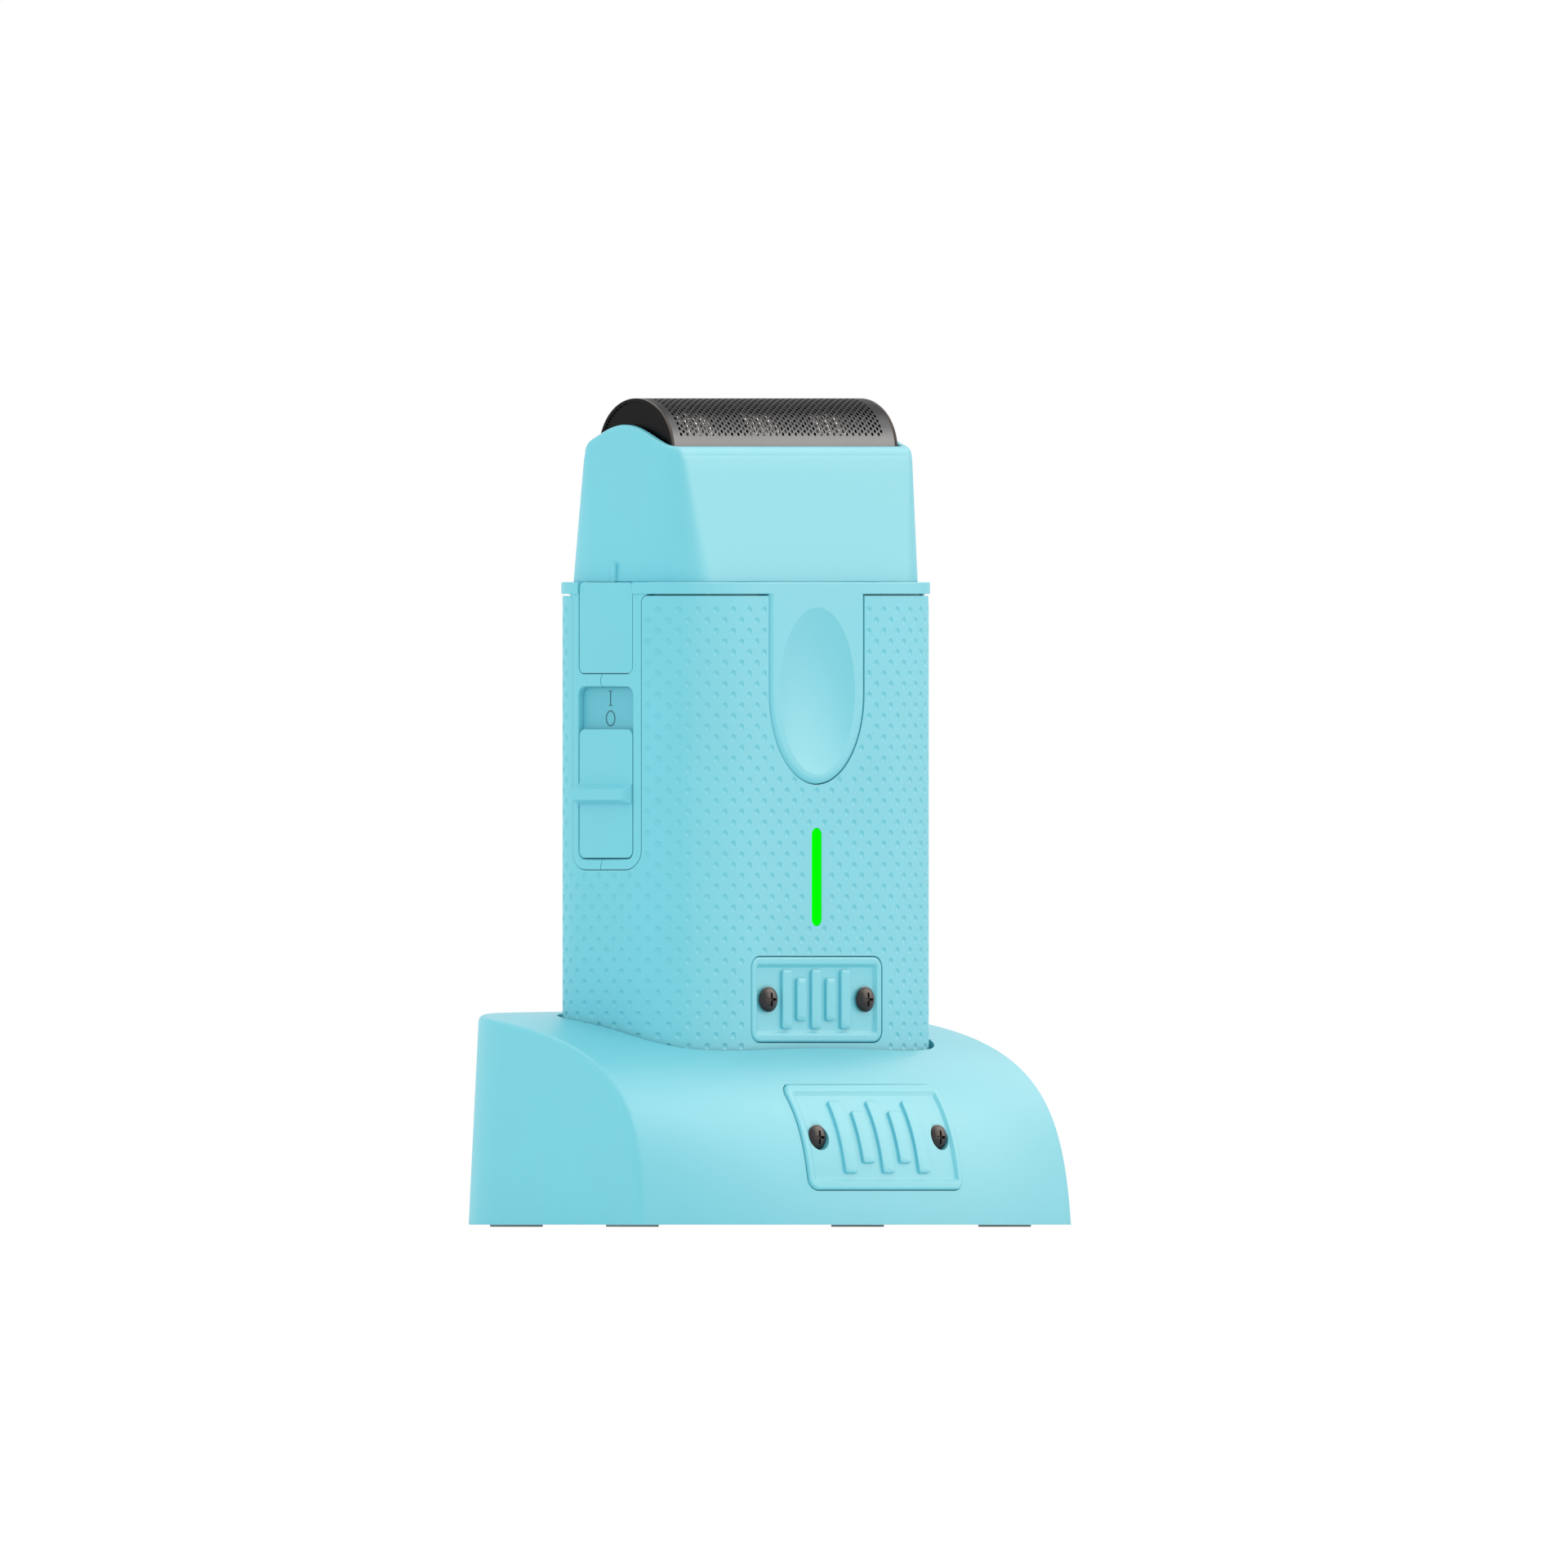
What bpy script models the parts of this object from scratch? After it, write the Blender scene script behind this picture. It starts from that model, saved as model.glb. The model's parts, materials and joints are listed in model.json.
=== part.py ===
"""A foil shaver standing in its charging dock, modelled as the separate pieces it is assembled from.

Metres, +Z up. The origin is on the surface that the dock stands on, under the middle of its box.
The front faces -Y. Shaver pieces hang from the empty "shaver_axis", the upright line on which the
motor turns. Neighbouring pieces keep a small gap, so that each stays a solid of its own.
"""

import math

import bmesh
import bpy
from mathutils import Matrix, Vector

MM = 0.001
GAP = 0.3 * MM

# Dock
DOCK_HALF_WIDTH = 48.9 * MM
DOCK_HALF_DEPTH = 27.05 * MM
DOCK_BOTTOM = 0.35 * MM
DOCK_FRONT_RADIUS = 150.0 * MM
DOCK_BACK_CORNER = 13.0 * MM
DOCK_SIDE_DRAFT = math.radians(2.6)
DOCK_BACK_DRAFT = math.radians(1.5)
DOCK_WALL = 2.8 * MM
# Side profile of the front and top, as Bezier control points (Y from the shaver's axis, Z)
DOCK_PROFILE = [
    (-24.8 * MM, 0.35 * MM),
    (-23.8 * MM, 22.5 * MM),
    (-16.7 * MM, 31.6 * MM),
    (22.9 * MM, 34.1 * MM),
]
BASE_PLATE_TOP = 2.15 * MM
FOOT_RADIUS = 4.2 * MM
FOOT_TOP = 1.2 * MM
# Feet and base screws come in mirrored pairs: X, then Y from the shaver's axis
FOOT_PAIRS = [(41.9 * MM, -16.4 * MM), (38.4 * MM, 13.2 * MM)]
BASE_SCREW_PAIRS = [(42.0 * MM, -3.0 * MM), (16.0 * MM, -24.5 * MM)]
BOSS_RADIUS = 3.0 * MM
POCKET_FLOOR = 9.2 * MM
POCKET_CLEARANCE = 1.4 * MM
POCKET_WALL = 2.0 * MM
DOCK_BOARD_BOTTOM = 2.5 * MM
DOCK_BOARD_TOP = 3.3 * MM
SOCKET_HALF_WIDTH = 4.5 * MM
SOCKET_HEIGHT = 3.2 * MM
DOCK_BADGE_HALF_WIDTH = 17.3 * MM
DOCK_BADGE_Z = (5.9 * MM, 22.6 * MM)
DOCK_BADGE_SCREW_X = 13.6 * MM

# Shaver body
SHAVER_Y = 5.95 * MM
BODY_HALF_WIDTH = 32.2 * MM
BODY_HALF_DEPTH = 16.0 * MM
BODY_FLAT_HALF = 13.5 * MM
BODY_CROWN_RADIUS = 41.0 * MM
BODY_CROWN_END = math.radians(17)
BODY_CORNER_END = math.radians(87)
BODY_BOTTOM = 9.5 * MM
CAP_TOP = 12.0 * MM
RING_BOTTOM = 100.75 * MM
RING_TOP = 102.65 * MM
SLEEVE_THICKNESS = 1.2 * MM
HOUSING_WALL = 1.8 * MM
HOUSING_INSET = SLEEVE_THICKNESS + GAP
CAVITY_INSET = HOUSING_INSET + HOUSING_WALL
# The side controls and the smooth trims round them sit a little forward of the shaver's axis
CONTROL_Y = -0.5 * MM
CONTROL_HALF_WIDTH = 6.05 * MM
TRIM_HALF_WIDTH = 7.55 * MM
TRIM_BOTTOM = 56.9 * MM
BUTTON_Z = (88.3 * MM, 102.4 * MM)
BUTTON_ROOM_X = 26.4 * MM
SLOT_Z = (58.6 * MM, 85.9 * MM)
SLIDER_Z = (58.9 * MM, 79.1 * MM)
SLIDER_X = (-32.05 * MM, -31.3 * MM)
SLIDER_LEDGE_Z = (67.3 * MM, 70.3 * MM)
SLIDER_LEDGE_X = -33.45 * MM
SWITCH_FIELD_X = -31.0 * MM
SWITCH_PLATE_X = (-29.2 * MM, -28.0 * MM)
TONGUE_HALF_WIDTH = 10.65 * MM
TONGUE_STRAIGHT_END = 84.8 * MM
TONGUE_TIP = 70.5 * MM
DISH_Z = 85.3 * MM
DISH_HALF_HEIGHT = 13.4 * MM
DISH_HALF_WIDTH = 8.5 * MM
DISH_DEPTH = 1.1 * MM
LIGHT_Z = (47.9 * MM, 63.5 * MM)
LIGHT_HALF_WIDTH = 1.1 * MM
BADGE_HALF_WIDTH = 14.7 * MM
BADGE_Z = (29.4 * MM, 43.0 * MM)
BADGE_SCREW_X = 10.9 * MM
SCREW_HEAD_RADIUS = 2.0 * MM
CONTACT_X = 6.0 * MM

# Drive
BATTERY_RADIUS = 9.2 * MM
BATTERY_Z = (14.6 * MM, 63.0 * MM)
BATTERY_X = 9.0 * MM
MOTOR_RADIUS = 10.2 * MM
MOTOR_Z = (66.0 * MM, 94.0 * MM)
BRACKET_Z = (94.3 * MM, 96.0 * MM)
SHAFT_RADIUS = 1.0 * MM
CAM_THROW = 1.0 * MM
# Housing screws come in mirrored pairs: X, then Z
HOUSING_SCREW_PAIRS = [(21.5 * MM, 20.0 * MM), (17.0 * MM, 90.0 * MM)]

# Head
HEAD_BOTTOM = 102.95 * MM
HEAD_RIM = 124.2 * MM
HEAD_WAVE = 3.5 * MM
HEAD_BASE = (30.1 * MM, 13.9 * MM, 9.0 * MM, 0.0)
HEAD_TOP = (27.6 * MM, 10.7 * MM, 2.6 * MM, -0.6 * MM)
HEAD_WALL = 1.7 * MM
HEAD_FLOOR_Z = (108.8 * MM, 110.0 * MM)
HEAD_OPENING = (22.5 * MM, 7.8 * MM)
FOIL_SHIFT_Y = -0.6 * MM
FOIL_AXIS_Z = 123.7 * MM
FOIL_RADIUS = 8.2 * MM
FOIL_THICKNESS = 0.4 * MM
FOIL_BOTTOM = 115.5 * MM
CASSETTE_HALF_LENGTH = 25.5 * MM
END_CAP_THICKNESS = 0.75 * MM
CASSETTE_Z = (113.2 * MM, 115.2 * MM)
CUTTER_RADIUS = 7.3 * MM
CUTTER_HALF_LENGTH = 21.0 * MM

COLLECTION = "foil_shaver_in_dock"
CUTTERS = "cutters"


# ---------------------------------------------------------------- scene and materials


def clear_scene():
    for old in list(bpy.data.objects):
        bpy.data.objects.remove(old)
    for name in (COLLECTION, CUTTERS):
        collection = bpy.data.collections.new(name)
        bpy.context.scene.collection.children.link(collection)


def principled(name, colour, roughness, metallic=0.0, glow=0.0):
    material = bpy.data.materials.new(name)
    material.use_nodes = True
    shader = material.node_tree.nodes["Principled BSDF"]
    shader.inputs["Base Color"].default_value = (*colour, 1.0)
    shader.inputs["Roughness"].default_value = roughness
    shader.inputs["Metallic"].default_value = metallic
    shader.inputs["Emission Color"].default_value = (*colour, 1.0)
    shader.inputs["Emission Strength"].default_value = glow
    return material


def make_materials():
    return {
        "aqua": principled("aqua_plastic", (0.27, 0.71, 0.78), 0.5),
        "aqua_soft": principled("aqua_soft_touch", (0.24, 0.66, 0.74), 0.65),
        "black": principled("black_plastic", (0.02, 0.02, 0.022), 0.45),
        "rubber": principled("grey_rubber", (0.18, 0.19, 0.2), 0.8),
        "light": principled("green_light", (0.0, 1.0, 0.0), 0.3, glow=3.0),
        "steel": principled("brushed_steel", (0.4, 0.41, 0.42), 0.3, 1.0),
        "screw": principled("black_screw", (0.03, 0.03, 0.03), 0.35, 0.8),
        "board": principled("circuit_board", (0.02, 0.2, 0.08), 0.5),
        "brass": principled("contact_brass", (0.8, 0.6, 0.25), 0.3, 1.0),
        "cell": principled("battery_sleeve", (0.1, 0.25, 0.6), 0.4),
        "white": principled("white_acetal", (0.85, 0.85, 0.83), 0.4),
    }


# ---------------------------------------------------------------- objects and modelling helpers


def mirrored(pairs):
    """Each pair (x, other) on the left, then on the right."""
    return [(side * x, other) for x, other in pairs for side in (-1, 1)]


def add_object(name, mesh, parent=None, material=None):
    """An object in the model's collection, or in the cutters' one where it has no material."""
    shape = bpy.data.objects.new(name, mesh)
    shape.parent = parent
    if material is None:
        bpy.data.collections[CUTTERS].objects.link(shape)
        shape.hide_render = True
        shape.display_type = "WIRE"
    else:
        bpy.data.collections[COLLECTION].objects.link(shape)
        mesh.materials.append(material)
    return shape


def finish_mesh(name, work, smooth_angle=None):
    bmesh.ops.recalc_face_normals(work, faces=work.faces)
    mesh = bpy.data.meshes.new(name)
    work.to_mesh(mesh)
    work.free()
    if smooth_angle is not None:
        mesh.shade_smooth()
        mesh.set_sharp_from_angle(angle=math.radians(smooth_angle))
    return mesh


def box_mesh(name, x, y, z):
    work = bmesh.new()
    size = Vector((x[1] - x[0], y[1] - y[0], z[1] - z[0]))
    middle = Vector((x[0] + x[1], y[0] + y[1], z[0] + z[1])) / 2
    placed = Matrix.Translation(middle) @ Matrix.Diagonal((*size, 1.0))
    bmesh.ops.create_cube(work, size=1.0, matrix=placed)
    return finish_mesh(name, work)


def rod_mesh(name, radius, start, end, sides=20):
    """A round bar between two points."""
    start = Vector(start)
    end = Vector(end)
    along = end - start
    turn = along.to_track_quat("Z", "Y").to_matrix().to_4x4()
    work = bmesh.new()
    bmesh.ops.create_cone(
        work,
        cap_ends=True,
        segments=sides,
        radius1=radius,
        radius2=radius,
        depth=along.length,
        matrix=Matrix.Translation((start + end) / 2) @ turn,
    )
    return finish_mesh(name, work, 40)


def turned_mesh(name, profile, steps=24):
    """A solid turned about Z. The profile holds (radius, height) points from top to bottom."""
    line = bpy.data.meshes.new(name + "_profile")
    points = [(0.0, 0.0, profile[0][1])]
    points += [(radius, 0.0, height) for radius, height in profile]
    points += [(0.0, 0.0, profile[-1][1])]
    line.from_pydata(points, [(i, i + 1) for i in range(len(points) - 1)], [])
    source = bpy.data.objects.new(name + "_profile", line)
    bpy.context.scene.collection.objects.link(source)
    screw = source.modifiers.new("turn", "SCREW")
    screw.steps = steps
    screw.render_steps = steps
    screw.use_merge_vertices = True
    screw.merge_threshold = 0.00001
    return baked(name, source, 40)


def baked(name, source, smooth_angle=None):
    """The evaluated mesh of an object, welded and in world space; the object is removed."""
    bpy.context.view_layer.update()
    evaluated = source.evaluated_get(bpy.context.evaluated_depsgraph_get())
    mesh = bpy.data.meshes.new_from_object(evaluated)
    mesh.transform(source.matrix_world)
    bpy.data.objects.remove(source)
    work = bmesh.new()
    work.from_mesh(mesh)
    bmesh.ops.remove_doubles(work, verts=work.verts, dist=0.000001)
    return finish_mesh(name, work, smooth_angle)


def plate_mesh(name, outline, low, high, facing=None):
    """A flat outline extruded from low to high along Z, then turned by the matrix facing."""
    curve = bpy.data.curves.new(name, "CURVE")
    curve.dimensions = "2D"
    curve.fill_mode = "BOTH"
    curve.extrude = (high - low) / 2
    spline = curve.splines.new("POLY")
    spline.points.add(len(outline) - 1)
    for point, (x, y) in zip(spline.points, outline):
        point.co = (x, y, 0.0, 1.0)
    spline.use_cyclic_u = True
    source = bpy.data.objects.new(name, curve)
    bpy.context.scene.collection.objects.link(source)
    source.matrix_world = (facing or Matrix.Identity(4)) @ Matrix.Translation((0, 0, (low + high) / 2))
    return baked(name, source)


# An outline drawn in X and Z, extruded along -Y: its extrusion runs from -high to -low in Y
FACING_FRONT = Matrix.Rotation(math.radians(90), 4, "X")
# An outline drawn in Y and Z, extruded along +X
FACING_SIDE = Matrix(((0, 0, 1, 0), (1, 0, 0, 0), (0, 1, 0, 0), (0, 0, 0, 1)))


def loft_mesh(name, rings, smooth_angle=30, ends_meet=False):
    """Skin over rings of equal point count. Its two ends are capped, or joined to each other."""
    work = bmesh.new()
    rows = [[work.verts.new(point) for point in ring] for ring in rings]
    pairs = list(zip(rows, rows[1:]))
    if ends_meet:
        pairs.append((rows[-1], rows[0]))
    else:
        work.faces.new(rows[0])
        work.faces.new(rows[-1])
    for lower, upper in pairs:
        for i in range(len(lower)):
            j = (i + 1) % len(lower)
            work.faces.new((lower[i], lower[j], upper[j], upper[i]))
    return finish_mesh(name, work, smooth_angle)


def coil_mesh(name, centre, radius, wire, length, turns, axis):
    """A compression spring along axis, with its middle at centre."""
    curve = bpy.data.curves.new(name, "CURVE")
    curve.dimensions = "3D"
    curve.bevel_depth = wire
    curve.bevel_resolution = 1
    curve.use_fill_caps = True
    steps = turns * 9
    spline = curve.splines.new("POLY")
    spline.points.add(steps)
    for i, point in enumerate(spline.points):
        angle = 2 * math.pi * turns * i / steps
        height = (i / steps - 0.5) * (length - 2 * wire)
        point.co = (radius * math.cos(angle), radius * math.sin(angle), height, 1.0)
    source = bpy.data.objects.new(name, curve)
    bpy.context.scene.collection.objects.link(source)
    turn = Vector(axis).to_track_quat("Z", "Y").to_matrix().to_4x4()
    source.matrix_world = Matrix.Translation(centre) @ turn
    return baked(name, source, 60)


def apply_boolean(target, tool, operation):
    step = target.modifiers.new(tool.name, "BOOLEAN")
    step.operation = operation
    step.solver = "EXACT"
    step.object = tool
    return target


def cut(target, *tools):
    for tool in tools:
        apply_boolean(target, tool, "DIFFERENCE")
    return target


def join(target, *tools):
    for tool in tools:
        apply_boolean(target, tool, "UNION")
    return target


def keep_inside(target, tool):
    return apply_boolean(target, tool, "INTERSECT")


# ---------------------------------------------------------------- outlines


def rounded_box(x, y, radius, steps=4):
    """Rectangle with round corners, anticlockwise."""
    points = []
    corners = [(x[1], y[0], -90), (x[1], y[1], 0), (x[0], y[1], 90), (x[0], y[0], 180)]
    for corner_x, corner_y, start in corners:
        centre_x = corner_x - math.copysign(radius, corner_x - sum(x) / 2)
        centre_y = corner_y - math.copysign(radius, corner_y - sum(y) / 2)
        for i in range(steps + 1):
            angle = math.radians(start + 90 * i / steps)
            points.append((centre_x + radius * math.cos(angle), centre_y + radius * math.sin(angle)))
    return points


def body_section(inset, crown_steps=3, corner_steps=6):
    """The grip's plan outline moved inwards by inset, anticlockwise.

    A quarter runs from the flat front through a gentle crown and a tight corner to the side, which
    is itself slightly bowed. Each stretch is an arc, so a point's normal follows from its angle.
    """
    side_slope = (1 - math.sin(BODY_CORNER_END)) / math.cos(BODY_CORNER_END)
    crown_x = BODY_FLAT_HALF + BODY_CROWN_RADIUS * math.sin(BODY_CROWN_END)
    crown_y = -BODY_HALF_DEPTH + BODY_CROWN_RADIUS * (1 - math.cos(BODY_CROWN_END))
    across = math.sin(BODY_CORNER_END) - math.sin(BODY_CROWN_END)
    deep = math.cos(BODY_CROWN_END) - math.cos(BODY_CORNER_END)
    corner = (BODY_HALF_WIDTH - crown_x + crown_y * side_slope) / (across - deep * side_slope)
    corner_y = crown_y + corner * deep
    side = -corner_y / math.cos(BODY_CORNER_END)

    stretches = [
        (BODY_CROWN_RADIUS, 0.0, BODY_CROWN_END, crown_steps),
        (corner, BODY_CROWN_END, BODY_CORNER_END, corner_steps),
        (side, BODY_CORNER_END, math.pi / 2, 2),
    ]
    x, y = BODY_FLAT_HALF, -BODY_HALF_DEPTH
    quarter = [(x, y + inset)]
    for radius, start, end, steps in stretches:
        for i in range(1, steps + 1):
            angle = start + (end - start) * i / steps
            px = x + radius * (math.sin(angle) - math.sin(start))
            py = y + radius * (math.cos(start) - math.cos(angle))
            quarter.append((px - inset * math.sin(angle), py + inset * math.cos(angle)))
        x, y = px, py
    quarter[-1] = (quarter[-1][0], 0.0)
    back = quarter[-2::-1]
    return (
        quarter
        + [(px, -py) for px, py in back]
        + [(-px, -py) for px, py in quarter]
        + [(-px, py) for px, py in back]
    )


def tongue_outline(grow):
    """The thumb rest's outline in X and Z: straight sides down from the ring, then half an ellipse."""
    half = TONGUE_HALF_WIDTH + grow
    drop = TONGUE_STRAIGHT_END - TONGUE_TIP + grow
    top = RING_TOP
    points = [(half, top), (-half, top)]
    for i in range(13):
        angle = math.pi + math.pi * i / 12
        points.append((half * math.cos(angle), TONGUE_STRAIGHT_END + drop * math.sin(angle)))
    return points


def dock_bulge(x):
    """How far the dock's front stands forward of its end corners at x."""
    chord = math.sqrt(DOCK_FRONT_RADIUS**2 - DOCK_HALF_WIDTH**2)
    return math.sqrt(DOCK_FRONT_RADIUS**2 - x * x) - chord


def dock_profile(inset, steps=12):
    """Front and top of the dock's end profile, as (Y, Z) in the dock's frame, moved in by inset."""
    points = []
    for i in range(steps + 1):
        t = i / steps * 1.15
        s = 1 - t
        weights = (s**3, 3 * s * s * t, 3 * s * t * t, t**3)
        slopes = (-3 * s * s, 3 * s * s - 6 * s * t, 6 * s * t - 3 * t * t, 3 * t * t)
        y = sum(w * p[0] for w, p in zip(weights, DOCK_PROFILE)) + SHAVER_Y
        z = sum(w * p[1] for w, p in zip(weights, DOCK_PROFILE))
        along = Vector([sum(w * p[k] for w, p in zip(slopes, DOCK_PROFILE)) for k in (0, 1)]).normalized()
        points.append((y + inset * along.y, z - inset * along.x))
    return points


# ---------------------------------------------------------------- dock


def dock_form(name, inset, bottom, parent=None, material=None):
    """The dock's full outer form, moved inwards by inset and reaching down to bottom."""
    profile = dock_profile(inset)
    far_back = DOCK_HALF_DEPTH + 12 * MM
    rings = []
    stations = 13
    reach = DOCK_HALF_WIDTH + 4 * MM
    for i in range(stations):
        x = -reach + 2 * reach * i / (stations - 1)
        shift = dock_bulge(x)
        ring = [(x, profile[0][0] - shift, bottom)]
        ring += [(x, y - shift, z) for y, z in profile if z > bottom + 0.1 * MM]
        ring += [(x, far_back, profile[-1][1]), (x, far_back, bottom)]
        rings.append(ring)
    form = add_object(name, loft_mesh(name, rings), parent, material)

    plan_rings = []
    for z in (bottom - MM, 40 * MM):
        half = DOCK_HALF_WIDTH - inset - (z - DOCK_BOTTOM) * math.tan(DOCK_SIDE_DRAFT)
        back = DOCK_HALF_DEPTH - inset - (z - DOCK_BOTTOM) * math.tan(DOCK_BACK_DRAFT)
        radius = DOCK_BACK_CORNER - inset
        ring = [(-half, -45 * MM, z), (half, -45 * MM, z)]
        for i in range(7):
            angle = math.radians(90 * i / 6)
            x = half - radius + radius * math.cos(angle)
            ring.append((x, back - radius + radius * math.sin(angle), z))
        ring += [(-x, y, z) for x, y, z in reversed(ring[2:])]
        plan_rings.append(ring)
    plan = add_object(name + "_plan", loft_mesh(name + "_plan", plan_rings))
    return keep_inside(form, plan)


def base_outline(inset, steps=10):
    """The dock's plan at its foot, moved inwards by inset: bowed front, round back corners."""
    half = DOCK_HALF_WIDTH - inset
    back = DOCK_HALF_DEPTH - inset
    front = DOCK_PROFILE[0][0] + SHAVER_Y + inset
    radius = DOCK_BACK_CORNER - inset
    points = []
    for i in range(steps + 1):
        x = -half + 2 * half * i / steps
        points.append((x, front - dock_bulge(x)))
    for centre_x, start in ((half - radius, 0), (radius - half, 90)):
        for i in range(7):
            angle = math.radians(start + 15 * i)
            points.append((centre_x + radius * math.cos(angle), back - radius + radius * math.sin(angle)))
    return points


def badge_block(name, half_width, z, y, grow, radius):
    outline = rounded_box((-half_width - grow, half_width + grow), (z[0] - grow, z[1] + grow), radius, 3)
    return add_object(name, plate_mesh(name, outline, -y[1], -y[0], FACING_FRONT))


def build_dock_shell(axis, materials):
    shell = dock_form("dock_shell", 0.0, DOCK_BOTTOM, None, materials["aqua"])
    cavity = dock_form("dock_cavity", DOCK_WALL, -MM)
    well_bottom = POCKET_FLOOR - POCKET_WALL
    pocket_outline = body_section(-POCKET_CLEARANCE, 2, 4)
    well_outline = body_section(-POCKET_CLEARANCE - POCKET_WALL, 2, 4)
    well = add_object("well", plate_mesh("well", well_outline, well_bottom, 60 * MM), axis)
    pocket = add_object("pocket", plate_mesh("pocket", pocket_outline, POCKET_FLOOR, 61 * MM), axis)
    cut(cavity, well)
    for i, (x, y) in enumerate(mirrored(BASE_SCREW_PAIRS)):
        name = f"boss_{i + 1}"
        mesh = rod_mesh(name, BOSS_RADIUS, (x, y, BASE_PLATE_TOP + GAP), (x, y, 60 * MM), 16)
        cut(cavity, add_object(name, mesh, axis))
    cut(shell, cavity, pocket)

    depth = (-60 * MM, 0.0)
    recess = badge_block("dock_badge_recess", DOCK_BADGE_HALF_WIDTH, DOCK_BADGE_Z, depth, GAP, 2 * MM)
    cut(recess, dock_form("dock_recess_floor", 1.5 * MM, -MM))
    cut(shell, recess)
    for side in (-1, 1):
        x = side * DOCK_BADGE_SCREW_X
        z = sum(DOCK_BADGE_Z) / 2
        name = f"dock_badge_pilot_{side}"
        cut(shell, add_object(name, rod_mesh(name, 1.1 * MM, (x, -40 * MM, z), (x, -20 * MM, z), 12)))
        hole = f"pin_hole_{side}"
        pin_x = side * CONTACT_X
        mesh = rod_mesh(hole, 1.2 * MM, (pin_x, 0, well_bottom - MM), (pin_x, 0, POCKET_FLOOR + MM), 12)
        cut(shell, add_object(hole, mesh, axis))
    for i, (x, y) in enumerate(mirrored(BASE_SCREW_PAIRS)):
        name = f"base_pilot_{i + 1}"
        cut(shell, add_object(name, rod_mesh(name, 1.1 * MM, (x, y, 0), (x, y, 9 * MM), 12), axis))
    socket_z = (DOCK_BOARD_TOP, DOCK_BOARD_TOP + SOCKET_HEIGHT + 2 * GAP)
    mouth = (-SOCKET_HALF_WIDTH - GAP, SOCKET_HALF_WIDTH + GAP)
    outline = rounded_box(mouth, socket_z, 1.5 * MM)
    mouth_mesh = plate_mesh("socket_mouth", outline, -40 * MM, -20 * MM, FACING_FRONT)
    cut(shell, add_object("socket_mouth", mouth_mesh))
    return shell


def build_base_plate(shell, axis, materials):
    plate = plate_mesh("dock_base_plate", base_outline(DOCK_WALL + 2 * GAP), DOCK_BOTTOM, BASE_PLATE_TOP)
    plate = add_object("dock_base_plate", plate, None, materials["aqua"])
    for i, (x, y) in enumerate(mirrored(FOOT_PAIRS)):
        name = f"foot_recess_{i + 1}"
        mesh = rod_mesh(name, FOOT_RADIUS + GAP, (x, y, -MM), (x, y, FOOT_TOP + GAP), 24)
        recess = add_object(name, mesh, axis)
        cut(plate, recess)
        if y < 0:
            cut(shell, recess)
        name = f"dock_foot_{i + 1}"
        foot = rod_mesh(name, FOOT_RADIUS, (x, y, 0), (x, y, FOOT_TOP), 24)
        add_object(name, foot, axis, materials["rubber"])
    for i, (x, y) in enumerate(mirrored(BASE_SCREW_PAIRS)):
        name = f"base_screw_hole_{i + 1}"
        profile = [(1.4 * MM, 3 * MM), (1.4 * MM, 1.4 * MM), (2.3 * MM, 1.4 * MM), (2.3 * MM, -MM)]
        hole = turned_mesh(name, profile, 16)
        hole.transform(Matrix.Translation((x, y, 0)))
        cut(plate, add_object(name, hole, axis))
        name = f"base_screw_{i + 1}"
        profile = [(0.8 * MM, 8.5 * MM), (0.8 * MM, 1.1 * MM), (2.0 * MM, 1.1 * MM), (2.0 * MM, 0.5 * MM)]
        screw = turned_mesh(name, profile, 16)
        screw.transform(Matrix.Translation((x, y, 0)))
        add_object(name, screw, axis, materials["screw"])


def build_dock_badge(materials):
    badge = dock_form("dock_badge", -0.35 * MM, DOCK_BOTTOM, None, materials["aqua"])
    depth = (-60 * MM, 0.0)
    edge = badge_block("dock_badge_edge", DOCK_BADGE_HALF_WIDTH, DOCK_BADGE_Z, depth, 0.0, 1.7 * MM)
    keep_inside(badge, edge)
    cut(badge, dock_form("dock_badge_back", 1.2 * MM, -MM))
    middle = sum(DOCK_BADGE_Z) / 2
    front = SHAVER_Y - 22.5 * MM - dock_bulge(DOCK_BADGE_SCREW_X)
    for side, word in ((-1, "left"), (1, "right")):
        x = side * DOCK_BADGE_SCREW_X
        name = f"dock_badge_hole_{word}"
        hole = rod_mesh(name, 1.1 * MM, (x, -40 * MM, middle), (x, -20 * MM, middle), 12)
        cut(badge, add_object(name, hole))
        name = f"dock_badge_seat_{word}"
        seat = rod_mesh(name, 2.6 * MM, (x, -40 * MM, middle), (x, front + 0.4 * MM, middle), 20)
        cut(badge, add_object(name, seat))
        add_badge_screw(f"dock_badge_screw_{word}", x, front + 0.1 * MM, middle, 3.0 * MM, None, materials)


def add_badge_screw(name, x, seat_y, z, length, parent, materials):
    """A pan-head screw pointing back along +Y, with the underside of its head at seat_y."""
    dome = [(1.2 * MM, 1.1 * MM), (1.75 * MM, 0.8 * MM), (SCREW_HEAD_RADIUS, 0.3 * MM)]
    profile = [*dome, (SCREW_HEAD_RADIUS, 0.0), (0.8 * MM, 0.0), (0.8 * MM, -length)]
    mesh = turned_mesh(name, profile, 20)
    mesh.transform(Matrix.Translation((x, seat_y, z)) @ FACING_FRONT)
    add_object(name, mesh, parent, materials["screw"])


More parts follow.
